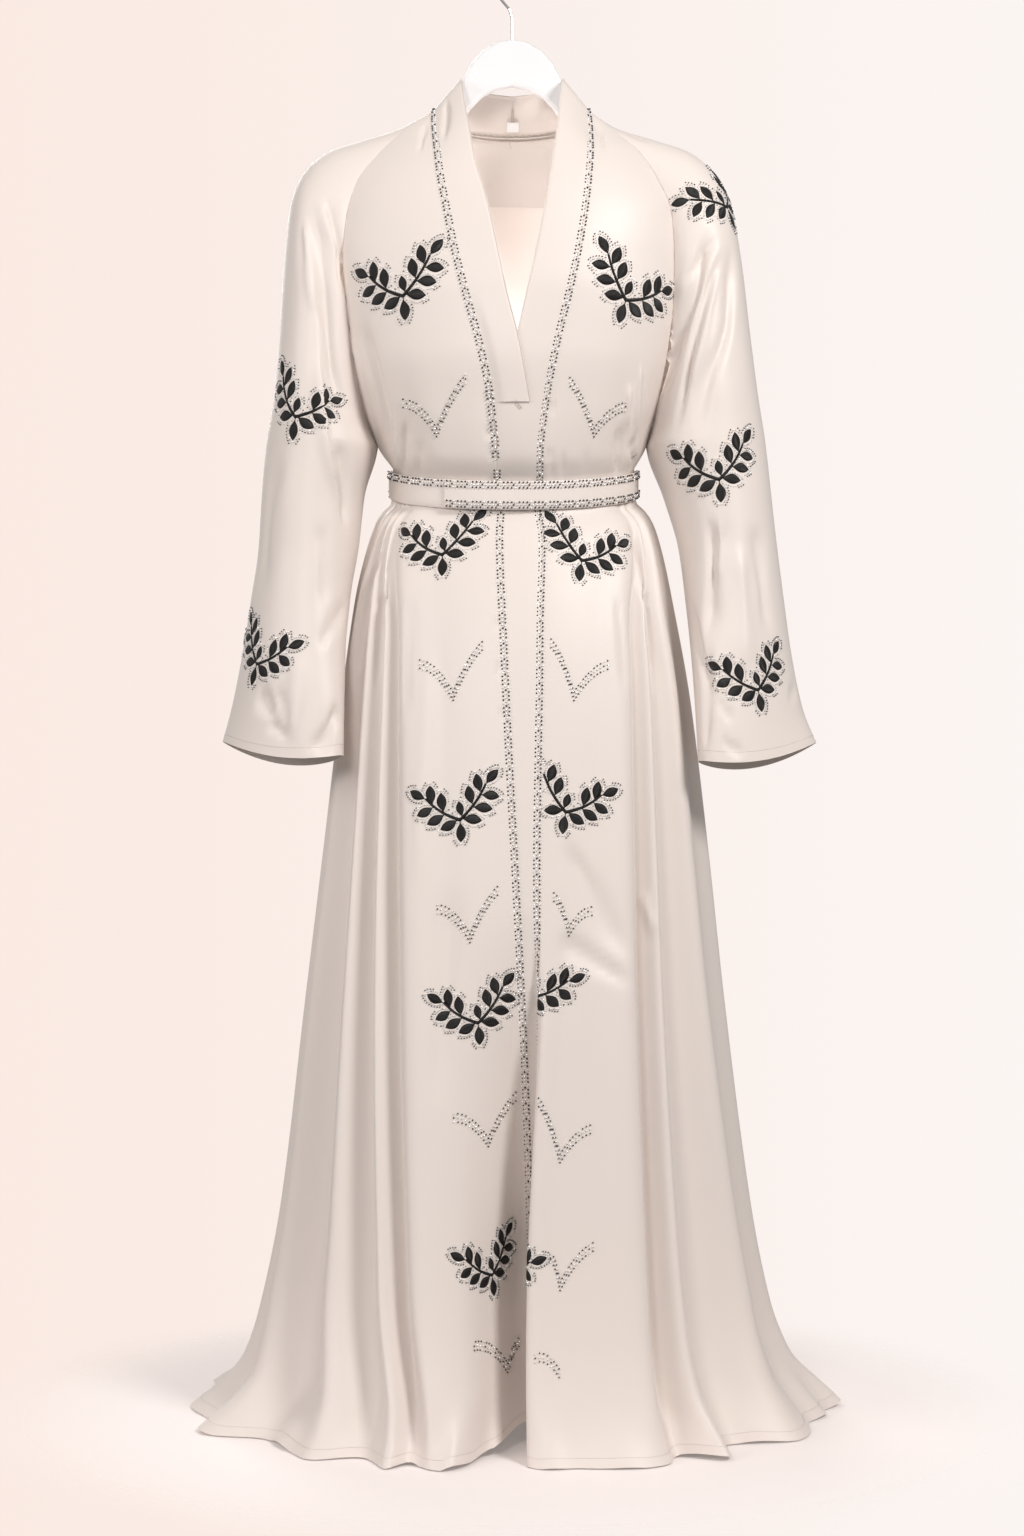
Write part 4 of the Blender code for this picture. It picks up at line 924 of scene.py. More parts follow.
print("belt", belt.shape, "facing", facing.shape, "label", label_grid.shape)

# %% [markdown]
# ## Shader helpers
#
# Node trees are hard to read as lists of links. Here a socket is wrapped in a small class,
# so that a sum or a product of sockets adds its own Math node.

# %% A socket that can be added and multiplied
class Value:
    """A socket of a finish; arithmetic with sockets or numbers adds a Math node each time."""

    def __init__(self, finish, socket):
        self.finish, self.socket = finish, socket

    def maths(self, operation, *values):
        return self.finish.add("ShaderNodeMath", {"operation": operation}, *values)

    def __add__(self, other):
        return self.maths("ADD", self, other)

    def __sub__(self, other):
        return self.maths("SUBTRACT", self, other)

    def __rsub__(self, other):
        return self.maths("SUBTRACT", other, self)

    def __mul__(self, other):
        return self.maths("MULTIPLY", self, other)

    def __truediv__(self, other):
        return self.maths("DIVIDE", self, other)

    def sine(self):
        return self.maths("SINE", self)

    def clear(self):
        """The same value held between 0 and 1."""
        return self.finish.add("ShaderNodeClamp", {}, self)

    __radd__, __rmul__ = __add__, __mul__


class Finish:
    """One material: a Principled surface and the nodes that feed it."""

    def __init__(self, name, **constants):
        self.material = bpy.data.materials.new(name)
        self.material.use_nodes = True
        self.tree = self.material.node_tree
        self.surface = self.tree.nodes["Principled BSDF"]
        for key, value in constants.items():
            self.surface.inputs[key.replace("_", " ")].default_value = value

    def add(self, kind, settings, *values, out=0, **named):
        """A new node: its settings first, then its sockets by place or by name."""
        node = self.tree.nodes.new(kind)
        for key, value in settings.items():
            setattr(node, key, value)
        for place, value in [*enumerate(values), *named.items()]:
            socket = node.inputs[place.replace("_", " ") if isinstance(place, str) else place]
            self.feed(socket, value)
        return Value(self, node.outputs[out])

    def feed(self, socket, value):
        if isinstance(value, Value):
            self.tree.links.new(value.socket, socket)
        else:
            socket.default_value = value

    def connect(self, **values):
        for key, value in values.items():
            self.feed(self.surface.inputs[key.replace("_", " ")], value)

    def place(self, stretch=(1, 1, 1), uv=False):
        """Object coordinates in metres, or the piece's own UV map, stretched by a factor."""
        source = self.add("ShaderNodeTexCoord", {}, out="UV" if uv else "Object")
        return self.add("ShaderNodeMapping", {}, Vector=source, Scale=stretch)

    def noise(self, where, scale, detail=2.0, roughness=0.5):
        return self.add("ShaderNodeTexNoise", {}, Vector=where, Scale=scale, Detail=detail,
                        Roughness=roughness)

    def blend(self, amount, first, second):
        """A colour between two, by amount."""
        node = self.tree.nodes.new("ShaderNodeMix")
        node.data_type = "RGBA"
        for index, value in ((0, amount), (6, first), (7, second)):
            self.feed(node.inputs[index], value)
        return Value(self, node.outputs[2])

    def bump(self, height, distance, strength=1.0, under=None):
        node = self.tree.nodes.new("ShaderNodeBump")
        for name, value in (("Height", height), ("Distance", distance), ("Strength", strength)):
            self.feed(node.inputs[name], value)
        if under is not None:
            self.feed(node.inputs["Normal"], under)
        return Value(self, node.outputs[0])


# %% [markdown]
# ## Satin crepe
#
# The cloth is a heavy satin-faced crepe. Its threads are too fine to see one by one, but
# they blur the highlights and give a faint grain. The colour shifts a little from warm
# champagne to pink where the cloth has been handled.

# %% The cloth's finish
def satin_finish(name, warm, cool, roughness=0.46, seed=0.0):
    satin = Finish(name, Sheen_Weight=0.25, Sheen_Roughness=0.45, Specular_IOR_Level=0.42)
    here = satin.place()
    broad = satin.noise(here, 3.1 + seed, 2.0)
    grain = satin.noise(satin.place((1.0, 1.0, 0.55)), 1500.0, 1.0)
    slub = satin.noise(satin.place((1.0, 1.0, 0.12)), 420.0, 2.0)
    satin.connect(
        Base_Color=satin.blend((broad * 1.6 - 0.3).clear(), (*cool, 1), (*warm, 1)),
        Roughness=roughness + 0.10 * (slub - 0.5) + 0.06 * (broad - 0.5),
        Normal=satin.bump(grain + 0.5 * slub, 0.12 * MM, 0.55))
    return satin.material


champagne = satin_finish("champagne_satin", (0.755, 0.672, 0.615), (0.735, 0.662, 0.615))
print("satin", len(champagne.node_tree.nodes), "nodes")

# %% Shells of all the cloth pieces
pieces = {name: shell(name + "_cloth", grid, normals[name], CLOTH, champagne)
          for name, grid in grids.items()}
pieces["belt"] = shell("belt_cloth", belt, own_normals(belt), 2.0 * MM, champagne)
# The facing is a darker copy of the cloth's satin: its colour holds painted shade for the inside of the
# back neck.
facing_satin_painted_shade = satin_finish("facing_satin_painted_shade", (0.64, 0.575, 0.525), (0.62, 0.56, 0.515), 0.52, 0.7)
pieces["back_neck_facing"] = shell("facing_cloth", facing, own_normals(facing), 0.8 * MM, facing_satin_painted_shade)
ribbon = Finish("label_ribbon", Base_Color=(0.88, 0.87, 0.85, 1), Roughness=0.45, Sheen_Weight=0.1)
weft = (ribbon.place((0.0, 0.0, 2 * math.pi / (0.5 * MM)))).sine()
ribbon.connect(Normal=ribbon.bump(weft, 0.05 * MM, 0.5))
pieces["label"] = shell("label_ribbon", label_grid, own_normals(label_grid), 0.4 * MM, ribbon.material)
print(sum(len(piece.data.polygons) for piece in pieces.values()), "faces of cloth")

# %% [markdown]
# ## Laying flat work on hanging cloth
#
# Embroidery is worked on flat cloth and then hangs with it. To lay a flat drawing on a
# grid, each of its points is walked there: first down the cloth at right angles to the
# rows, then along a row by arc length. So a spray keeps its size where the cloth turns
# away from the eye, and bends round a fold as the real one does.

# %% A cloth's arc lengths, and finding a spot by sight
class Ground:
    """A grid with its arc lengths along rows, and how far its columns drop and lean."""

    def __init__(self, name, grid, normal):
        self.name, self.grid, self.normal = name, grid, normal
        self.rows, self.columns = grid.shape[:2]
        along = np.linalg.norm(np.diff(grid, axis=1), axis=2)
        self.run = np.concatenate([np.zeros((self.rows, 1)), np.cumsum(along, axis=1)], axis=1)
        way = unit(np.gradient(grid, axis=1))
        down = np.diff(grid, axis=0)
        lean = (down * (way[1:] + way[:-1]) / 2).sum(axis=2)
        drop = np.sqrt(np.maximum((down**2).sum(axis=2) - lean**2, 1e-12))
        self.lean = np.concatenate([np.zeros((1, self.columns)), np.cumsum(lean, axis=0)])
        self.drop = np.concatenate([np.zeros((1, self.columns)), np.cumsum(drop, axis=0)])
        self.tree = BVHTree.FromPolygons(grid.reshape(-1, 3).tolist(), grid_faces(*grid.shape[:2]).tolist())

    def between(self, values, row, column):
        """Values of the grid at a row and column between its points."""
        row, column = np.clip(row, 0, self.rows - 1.001), np.clip(column, 0, self.columns - 1.001)
        i, j = row.astype(int), column.astype(int)
        trail = (1,) * (values.ndim - 2)
        a, b = (row - i).reshape(-1, *trail), (column - j).reshape(-1, *trail)
        return ((1 - a) * ((1 - b) * values[i, j] + b * values[i, j + 1])
                + a * ((1 - b) * values[i + 1, j] + b * values[i + 1, j + 1]))

    def column_at(self, row, run):
        """The column where whole rows reach the given arc lengths."""
        room = self.run.max() + 1.0
        keys = (self.run + room * np.arange(self.rows)[:, None]).ravel()
        run = np.clip(run, 0, self.run[row, -1] - 1e-9)
        after = np.searchsorted(keys, run + room * row, side="right") - row * self.columns
        after = np.clip(after, 1, self.columns - 1)
        low, high = self.run[row, after - 1], self.run[row, after]
        return after - 1 + (run - low) / np.maximum(high - low, 1e-9)

    def lay(self, spot, flat, height):
        """Places flat points (right, up, in metres) round a spot (row, column, turn).

        Returns the points, raised by height along the normal, the normals, and which of
        the points lie on the cloth at all.
        """
        row, column, turn = spot
        cos, sin = math.cos(turn), math.sin(turn)
        right, high = flat[:, 0] * cos + flat[:, 1] * sin, -flat[:, 0] * sin + flat[:, 1] * cos
        whole = np.arange(self.rows)
        here = np.full(self.rows, float(column))
        drop, lean, run = (self.between(values, whole.astype(float), here)
                           for values in (self.drop, self.lean, self.run))
        start = np.array([float(row)])
        drop_0, lean_0 = (np.interp(start, whole, v) for v in (drop, lean))
        wanted = drop_0 - high
        down = np.interp(wanted, drop, whole)
        reach = np.interp(down, whole, run) - (np.interp(down, whole, lean) - lean_0) - right
        inside = (wanted >= drop[0]) & (wanted <= drop[-1])
        upper_row = np.minimum(down.astype(int), self.rows - 2)
        part = (down - upper_row)[:, None]
        inside &= (reach >= 0) & (reach <= np.interp(down, whole, self.run[:, -1]))
        places, ways = [], []
        for k in (upper_row, upper_row + 1):
            at = self.column_at(k, reach)
            places.append(self.between(self.grid, k.astype(float), at))
            ways.append(self.between(self.normal, k.astype(float), at))
        point = places[0] * (1 - part) + places[1] * part
        way = unit(ways[0] * (1 - part) + ways[1] * part)
        return point + way * np.asarray(height)[..., None], way, inside

    def spot_at(self, index, hit):
        """Row, column and upright turn of a point inside a face."""
        i, j = divmod(index, self.columns - 1)
        corner = self.grid[i, j]
        across, down = self.grid[i, j + 1] - corner, self.grid[i + 1, j] - corner
        hit = np.array(hit) - corner
        row = i + float(np.clip(hit @ down / (down @ down), 0, 1))
        column = j + float(np.clip(hit @ across / (across @ across), 0, 1))
        way = self.normal[i, j]
        right = -unit(across - way * (across @ way))
        high = np.cross(way, right)
        return row, column, math.atan2(right[2], high[2])


def look_for(grounds, across, down, behind=False):
    """The cloth that a sight line meets first, and the spot on it."""
    eye, aim = sight_line(across, down, behind)
    best = None
    for ground in grounds:
        hit, _, index, distance = ground.tree.ray_cast(eye, aim)
        if hit is not None and (best is None or distance < best[0]):
            best = distance, ground, hit, index
    if best is None:
        raise ValueError(f"no cloth at {across}, {down}")
    return best[1], best[1].spot_at(best[3], best[2])


# %% [markdown]
# ## A spray of leaves
#
# Each spray is a V of two curved stems with leaves in pairs, one leaf at each tip and one
# below the fork. The layout is a rule, not a drawing: leaves stand at fixed shares of
# their stem and turn away from it, wider on the outer side than on the inner.

# %% The spray's layout
STEMS = Table("angle length bend", [(55, 46, -5), (150, 43, 6)])     # degrees, mm, mm
PAIRS = Table("share inner outer", [(0.06, 18.0, 22.5), (0.42, 22.5, 22.5), (0.76, 22.0, 21.0)])
INNER_TURN, OUTER_TURN, LEAF_WIDTH = 50, 60, 0.48


def stem_point(stem, share):
    """A parabola: along the stem's direction, bent sideways most at its middle."""
    angle, length, bend = stem
    along = np.array([math.cos(math.radians(angle)), math.sin(math.radians(angle))])
    aside = np.array([-along[1], along[0]])
    share = np.asarray(share, float)[..., None]
    return along * length * share + aside * bend * 4 * share * (1 - share) * 0.5


def spray_layout():
    """Every leaf as base x, base y, angle and length, in mm and degrees."""
    leaves = [(0.0, -1.5, -86.0, 22.5)]
    for stem, inward in zip(STEMS.data, (1, -1)):
        for share, inner, outer in PAIRS.data:
            for side, turn, length in ((inward, INNER_TURN, inner), (-inward, OUTER_TURN, outer)):
                if inward < 0 and share < 0.1 and side == inward:
                    continue                     # one inner leaf fills the fork
                x, y = stem_point(stem, share + (0.02 if side == inward else -0.02))
                leaves.append((x, y, stem[0] + side * turn, length))
        x, y = stem_point(stem, 1.0)
        leaves.append((x, y, stem[0] - inward * 4, 21.0))
    return np.array(leaves)


def leaf_width(t):
    """Half width over length: a thin stalk, fullest past the middle, pointed."""
    blade = np.clip((t - 0.10) / 0.90, 0, 1)
    return LEAF_WIDTH / 2 * np.maximum(np.sin(np.pi * blade ** 1.05) ** 0.85, 0.09 * (t < 0.5))


leaves = spray_layout()
print(len(leaves), "leaves in a spray")


# %% The beads round the leaves
def around_leaf(leaf, away, step):
    """Points at a distance from a leaf's edge, evenly spaced along that line."""
    t = np.linspace(0.0, 1.0, 60)
    x, half = t * leaf[3], leaf_width(t) * leaf[3] + away
    x = x + (t - 0.5) * 2 * away * 0.9
    loop = np.concatenate([np.stack([x, half], axis=1), np.stack([x, -half], axis=1)[::-1]])
    length = lengths_along(loop)
    at = np.arange(0, length[-1], step)
    local = at_lengths(at, length, loop)
    cos, sin = math.cos(math.radians(leaf[2])), math.sin(math.radians(leaf[2]))
    return leaf[:2] + local @ np.array([[cos, sin], [-sin, cos]])


def depth_in_leaf(points, leaf):
    """How far points are from a leaf's edge, positive outside, roughly."""
    cos, sin = math.cos(math.radians(leaf[2])), math.sin(math.radians(leaf[2]))
    local = (points - leaf[:2]) @ np.array([[cos, -sin], [sin, cos]])
    t = local[:, 0] / leaf[3]
    over = np.maximum(np.maximum(-local[:, 0], local[:, 0] - leaf[3]), 0)
    return np.hypot(np.maximum(np.abs(local[:, 1]) - leaf_width(t) * leaf[3], 0), over)


def spray_beads():
    """Two rows round every leaf and stem, thinned where they would touch.  Columns x, y, row."""
    rows = []
    for ring, (away, step) in enumerate(((1.9, 2.6), (3.9, 3.1))):
        for leaf in leaves:
            loop = around_leaf(leaf, away, step)
            rows.append(np.column_stack([loop, np.full(len(loop), ring)]))
        for stem in STEMS.data:
            share = np.arange(0.02, 1.0, step / stem[1])
            line = stem_point(stem, share)
            way = unit(np.gradient(line, axis=0))
            for side in (-1, 1):
                beside = line + side * (away + 0.4) * np.stack([-way[:, 1], way[:, 0]], axis=1)
                rows.append(np.column_stack([beside, np.full(len(beside), ring)]))
    beads = np.concatenate(rows)
    clear = np.min([depth_in_leaf(beads[:, :2], leaf) for leaf in leaves], axis=0) > 1.35
    fine = np.concatenate([stem_point(stem, np.linspace(0, 1, 80)) for stem in STEMS.data])
    clear &= np.linalg.norm(beads[:, None, :2] - fine[None], axis=2).min(axis=1) > 1.7
    beads = beads[clear]
    kept = []
    for bead in beads:
        if all((bead[0] - x) ** 2 + (bead[1] - y) ** 2 > 2.2 ** 2 for x, y, _ in kept):
            kept.append(bead)
    return np.array(kept)


beads_of_spray = spray_beads()
print(len(beads_of_spray), "beads in a spray")


# %% Shapes that repeat: a bead, a leaf pad and a stem
def bead_shape():
    """A ball without its hidden underside: a pole and two rings of six, in radii."""
    turn = np.arange(6) * np.pi / 3
    points = [(0, 0, 1.0)] + [(0.87 * math.cos(a), 0.87 * math.sin(a), 0.5) for a in turn]
    points += [(0.87 * math.cos(a + 0.52), 0.87 * math.sin(a + 0.52), -0.5) for a in turn]
    faces = [(0, 1 + k, 1 + (k + 1) % 6) for k in range(6)]
    faces += [(1 + k, 7 + k, 1 + (k + 1) % 6) for k in range(6)]
    faces += [(7 + k, 7 + (k + 1) % 6, 1 + (k + 1) % 6) for k in range(6)]
    return np.array(points), np.array(faces)


BEAD_POINTS, BEAD_FACES = bead_shape()


class Work:
    """Collects one kind of needlework on one body of cloth, then makes a single mesh."""

    def __init__(self):
        self.points, self.faces, self.tone, self.flat, self.count = [], [], [], [], 0

    def gather(self, points, faces, tone, flat=None):
        self.points.append(points)
        self.faces += (np.asarray(faces) + self.count).tolist()
        self.tone.append(np.broadcast_to(tone, len(points)))
        self.flat.append(np.zeros((len(points), 2)) if flat is None else flat)
        self.count += len(points)

    def add_beads(self, centres, ways, radius, tone):
        """Balls at the centres, each turned to its cloth's normal."""
        if len(centres) == 0:
            return
        first = unit(np.cross(ways, np.array([0.31, 0.17, 0.93])))
        second = np.cross(ways, first)
        radius = np.broadcast_to(radius, len(centres))[:, None, None]
        local = BEAD_POINTS[None] * radius
        ball = (centres[:, None] + local[..., :1] * first[:, None] + local[..., 1:2] * second[:, None]
                + local[..., 2:] * ways[:, None])
        faces = BEAD_FACES[None] + len(BEAD_POINTS) * np.arange(len(centres))[:, None, None]
        tone = np.repeat(np.broadcast_to(tone, len(centres)), len(BEAD_POINTS))
        self.gather(ball.reshape(-1, 3), faces.reshape(-1, 3), tone)

    def make(self, name, material):
        piece = mesh_object(name, np.concatenate(self.points), self.faces, material)
        mark = piece.data.attributes.new("tone", "FLOAT", "POINT")
        mark.data.foreach_set("value", np.concatenate(self.tone).astype(np.float32))
        corners = np.zeros(len(piece.data.loops), dtype=np.int32)
        piece.data.loops.foreach_get("vertex_index", corners)
        chart = piece.data.uv_layers.new(name="stitches")
        chart.data.foreach_set("uv", np.concatenate(self.flat)[corners].astype(np.float32).ravel())
        return piece


def pad(ground, spot, flat_grid, height):
    """A raised pad over a grid of flat points, with walls down into the cloth."""
    shape = flat_grid.shape[:2]
    flat = flat_grid.reshape(-1, 2)
    top, way, inside = ground.lay(spot, flat, height.ravel())
    border = rim(flat_grid)
    low = (top - way * (height.ravel() + 0.25 * MM)[:, None])[border]
    foot = len(flat) + np.arange(len(border))
    edge = np.stack([border, foot, np.roll(foot, -1), np.roll(border, -1)], axis=1)
    return np.concatenate([top, low]), np.concatenate([grid_faces(*shape), edge]), inside, border


# %% One spray, laid round its spot
ON_CLOTH = 0.9                       # a leaf is sewn where this share of it has cloth
T_LEAF, S_LEAF = np.meshgrid(np.linspace(0, 1, 10), np.linspace(1, -1, 6), indexing="ij")


def lay_spray(ground, spot, thread, beads, flip, turn, size):
    """Leaves, stems and beads of one spray.  Flip mirrors it, turn is in degrees."""
    row, column, upright = spot
    spot = (row, column, upright - math.radians(turn))
    mirror = np.array([-1.0 if flip else 1.0, 1.0])
    scale = size * MM

    def sew(local, height, chart):
        """One leaf or stem on the cloth, left out where it would hang over an edge."""
        flat = local * mirror * scale
        if flip:
            flat, height = flat[:, ::-1], height[:, ::-1]
        points, faces, inside, border = pad(ground, spot, flat, height)
        if inside.mean() > ON_CLOTH:
            thread.gather(points, faces, 0.5, np.concatenate([chart, chart[border]]) * MM)

    for x, y, angle, length in leaves:
        cos, sin = math.cos(math.radians(angle)), math.sin(math.radians(angle))
        half = leaf_width(T_LEAF) * length * S_LEAF
        bowed = half + 0.03 * length * np.sin(np.pi * T_LEAF)
        along = T_LEAF * length
        local = np.stack([x + along * cos - bowed * sin, y + along * sin + bowed * cos], axis=-1)
        height = (0.25 + 0.95 * np.sqrt(np.maximum(1 - S_LEAF**2, 0)) * np.sin(np.pi * T_LEAF) ** 0.5) * MM
        sew(local, height, np.stack([along.ravel(), np.abs(half).ravel()], axis=1))
    for stem in STEMS.data:
        share = np.linspace(-0.02, 1.02, 20)
        line = stem_point(stem, share)
        way = unit(np.gradient(line, axis=0))
        side = np.linspace(1, -1, 5)
        wide = (1.75 - 0.55 * share)[:, None] * side
        local = line[:, None] + wide[..., None] * np.stack([-way[:, 1], way[:, 0]], axis=1)[:, None]
        height = np.broadcast_to((0.2 + 0.85 * np.sqrt(1 - side**2)) * MM, wide.shape)
        sew(local, height, np.stack([np.repeat(share * stem[1], 5), np.abs(wide).ravel()], axis=1))
    ring = beads_of_spray[:, 2]
    radius = np.where(ring == 0, 0.80, 0.85) * MM
    centre, way, inside = ground.lay(spot, beads_of_spray[:, :2] * mirror * scale, radius * 0.7)
    tone = np.where(ring == 0, 1.0, 0.08) - 0.55 * ((np.arange(len(ring)) % 4 == 1) & (ring == 0))
    beads.add_beads(centre[inside], way[inside], radius[inside], tone[inside])


# %% [markdown]
# ## Where the embroidery goes
#
# Sprays sit on chest, sleeves and skirt, mirrored across the centre front. Between them
# lie chevrons of beads. The back and the backs of the sleeves carry the same at a
# plausible spacing, because the view doesn't show them.

# %% Places of the sprays
SPRAYS = [
    # across, down, turn, mirrored, behind, and mm further into the centre pleat
    (403, 296, 0, False, False), (626, 300, -13, True, False), (727, 207, 34, True, False),
    (295, 417, -6, True, False), (718, 480, 0, False, False), (257, 664, -8, True, False),
    (758, 690, 2, False, False), (442, 555, 0, False, False), (582, 560, -8, True, False),
    (460, 820, 0, False, False), (566, 812, -6, True, False), (478, 1023, 0, False, False),
    (540, 998, -6, True, False, 16), (492, 1275, 0, False, False), (534, 1277, -10, True, False, 44),
    (446, 300, 0, True, True), (578, 300, 0, False, True), (512, 410, 0, False, True),
    (300, 420, 0, True, True), (722, 430, 0, False, True), (270, 660, 0, True, True),
    (752, 672, 0, False, True), (440, 590, 0, True, True), (590, 590, 0, False, True),
    (512, 800, 0, False, True), (400, 960, 0, True, True), (626, 960, 0, False, True),
    (512, 1130, 0, False, True), (382, 1280, 0, True, True), (646, 1280, 0, False, True),
]
CHEVRONS = [
    # arm end, bottom, arm end, behind
    ((402, 407), (437, 436), (467, 381), False), ((568, 383), (594, 436), (628, 410), False),
    ((417, 668), (453, 700), (484, 648), False), ((550, 646), (574, 700), (610, 668), False),
    ((435, 913), (470, 942), (500, 892), False), ((552, 900), (569, 935), (594, 915), False),
    ((451, 1122), (488, 1146), (518, 1098), False), ((538, 1105), (560, 1162), (594, 1132), False),
    ((550, 1262), (560, 1290), (594, 1250), False), ((473, 1350), (508, 1370), (520, 1345), False),
    ((532, 1364), (559, 1377), (559, 1377), False),
    ((470, 500), (512, 530), (554, 500), True), ((470, 690), (512, 724), (554, 690), True),
    ((352, 1112), (386, 1146), (420, 1104), True), ((604, 1104), (638, 1146), (672, 1112), True),
]
FRONT = ("front_right", "front_left", "sleeve_right", "sleeve_left", "back")
SPRAY_SIZE = Table("down size", [(300, 1.07), (560, 1.0), (1000, 0.94), (1280, 0.90)])

# %% Threads and beads
black = Finish("leaf_thread", Base_Color=(0.0085, 0.0075, 0.007, 1), Specular_IOR_Level=0.28)
chart = black.add("ShaderNodeUVMap", {"uv_map": "stitches"})
apart = black.add("ShaderNodeSeparateXYZ", {}, chart)
along, aside = apart, Value(black, apart.socket.node.outputs[1])
stitch = ((along + 0.55 * aside) * (2 * math.pi / (0.62 * MM))).sine() * 0.5 + 0.5
vein = (aside / (0.35 * MM)).clear()
black.connect(Roughness=0.34 + 0.16 * stitch, Normal=black.bump(stitch * 0.6 + vein * 0.8, 0.22 * MM, 0.8))

glass = Finish("beads", Specular_IOR_Level=0.8)
tone = Value(glass, glass.add("ShaderNodeAttribute", {"attribute_name": "tone"}).socket.node.outputs["Fac"])
glass.connect(Base_Color=glass.blend(tone, (0.022, 0.021, 0.023, 1), (0.95, 0.94, 0.93, 1)),
              Metallic=0.30 + 0.15 * tone, Roughness=0.30 - 0.14 * tone)

# %% Sprays and chevrons on the cloth
grounds = {name: Ground(name, grid, normals[name]) for name, grid in grids.items()}
threads = {name: Work() for name in grids}
beads = {name: Work() for name in grids}
for across, down, turn, mirrored, behind, *inward in SPRAYS:
    ground, spot = look_for([grounds[name] for name in FRONT], across, down, behind)
    if inward:
        run = np.interp(spot[1], np.arange(ground.columns), ground.run[int(spot[0])]) + inward[0] * MM
        spot = (spot[0], float(ground.column_at(np.array([int(spot[0])]), np.array([run]))[0]), spot[2])
    lay_spray(ground, spot, threads[ground.name], beads[ground.name], mirrored, turn,
              float(SPRAY_SIZE.at("size", down)))


def bead_line(ground, line, work, offsets, step, radius, tones, phase=0):
    """Beads along a line of (row, column) spots, in rows offset to both sides."""
    place = ground.between(ground.grid, line[:, 0], line[:, 1])
    run = lengths_along(place)
    for order, (offset, tone) in enumerate(zip(offsets, tones)):
        at = np.arange((order % 2 + phase) * step / 2, run[-1], step)
        spot = at_lengths(at, run, line)
        point = ground.between(ground.grid, spot[:, 0], spot[:, 1])
        way = unit(ground.between(ground.normal, spot[:, 0], spot[:, 1]))
        ahead = np.gradient(at_lengths(at, run, place), axis=0)
        beside = unit(np.cross(way, unit(ahead)))
        shade = np.where(np.arange(len(at)) % 4 == 3, 1 - tone, tone)
        work.add_beads(point + beside * offset + way * radius * 0.8, way, radius, shade)


# Each row of a chevron: its shift down in picture points and its tone, dark or bright
CHEVRON_ROWS = ((-8.0, 0.04), (-3.8, 1.0), (0.5, 0.04))
CHEVRON_STEP, CHEVRON_BEAD = 4.3 * MM, 0.95 * MM


def seen_line(ground, start, end, bow, lift, behind):
    """(row, column) spots under a bowed line of picture points, as far as the cloth reaches."""
    line = []
    for share in np.linspace(0, 1, 24):
        across = start[0] + share * (end[0] - start[0])
        down = start[1] + share * (end[1] - start[1]) - bow * 4 * share * (1 - share) + lift
        eye, aim = sight_line(across, down, behind)
        hit, _, index, _ = ground.tree.ray_cast(eye, aim)
        if hit is None:
            break
        line.append(ground.spot_at(index, hit)[:2])
    return np.array(line)


for first, bottom, last, behind in CHEVRONS:
    ground, _ = look_for([grounds[name] for name in ("front_right", "front_left", "back")], *bottom, behind)
    for end, bow in ((first, 8), (last, 6)):
        for lift, shade in CHEVRON_ROWS:
            line = seen_line(ground, bottom, end, bow, lift, behind)
            if end != bottom and len(line) > 6:
                bead_line(ground, line, beads[ground.name], (0.0,), CHEVRON_STEP, CHEVRON_BEAD, (shade,))

# %% Trims along the band, the strip and the belt
# Offsets of the three rows, the step along them, the beads' radius, and the rows' tones
TRIM = ((-2.9 * MM, 0.0, 2.9 * MM), 4.1 * MM, 1.12 * MM, (0.01, 1.0, 0.01))
UNDER_BELT = -0.556                  # the belt hides where trims end and start again
BELT_TRIM_END = 481.4                # degrees, just short of the belt's free end
for name, column in (("band_left", 0), ("band_right", -1), ("front_right", 2), ("band_left", -1)):
    ground = grounds[name]
    row = np.arange(ground.rows, dtype=float)
    if name == "front_right":
        row = row[(ground.grid[:, 0, 2] <= BAND_FOOT + 4 * MM) & (ground.grid[:, 0, 2] > UNDER_BELT)]
    elif column == -1 and name == "band_left":
        row = row[ground.grid[:, -1, 2] < UNDER_BELT]
    line = np.stack([row, np.full(len(row), float(column % ground.columns))], axis=1)
    bead_line(ground, line[:-1], beads[name], *TRIM)
belt_ground = Ground("belt", belt, own_normals(belt))
beads["belt"] = Work()
for share, start in ((0.15, 100), (0.84, 186)):
    row = np.interp(share, belt_share, np.arange(len(belt_share)))
    angles = np.radians(np.linspace(start, BELT_TRIM_END, 400))
    column = np.interp(angles, belt_angles, np.arange(len(belt_angles)))
    bead_line(belt_ground, np.stack([np.full(400, row), column], axis=1), beads["belt"], *TRIM)

needlework = {}
for name in grids:
    if threads[name].count:
        needlework[name + "_leaves"] = (threads[name].make(name + "_leaves", black.material), "leaf_thread")
for name, work in beads.items():
    if work.count:
        needlework[name + "_beads"] = (work.make(name + "_beads", glass.material), "bead")
print({name: len(piece.data.polygons) for name, (piece, _) in needlework.items()})

# %% [markdown]
# ## Hand stitches
#
# Small things a sewer leaves: the overlocked allowance inside the back neck with its thread
# tail, the loop above the label, a bar tack below the band's end, and the rows of stitches
# that hold the hems. Each thread is a thin tube along a line.

# %% Threads
def thread_tube(work, line, radius, sides=5):
    """A tube along a line of points, closed enough to look round at arm's length."""
    ahead = unit(np.gradient(line, axis=0))
    first = unit(np.cross(ahead, np.array([0.21, 0.93, 0.30])))
    second = np.cross(ahead, first)
    turn = np.arange(sides) * 2 * np.pi / sides
    ring = (line[:, None] + radius * (np.cos(turn)[None, :, None] * first[:, None]
                                      + np.sin(turn)[None, :, None] * second[:, None]))
    i, j = np.meshgrid(np.arange(len(line) - 1), np.arange(sides), indexing="ij")
    a, b = (i * sides + j).ravel(), (i * sides + (j + 1) % sides).ravel()
    work.gather(ring.reshape(-1, 3), np.stack([a, b, b + sides, a + sides], axis=1), 0.5)


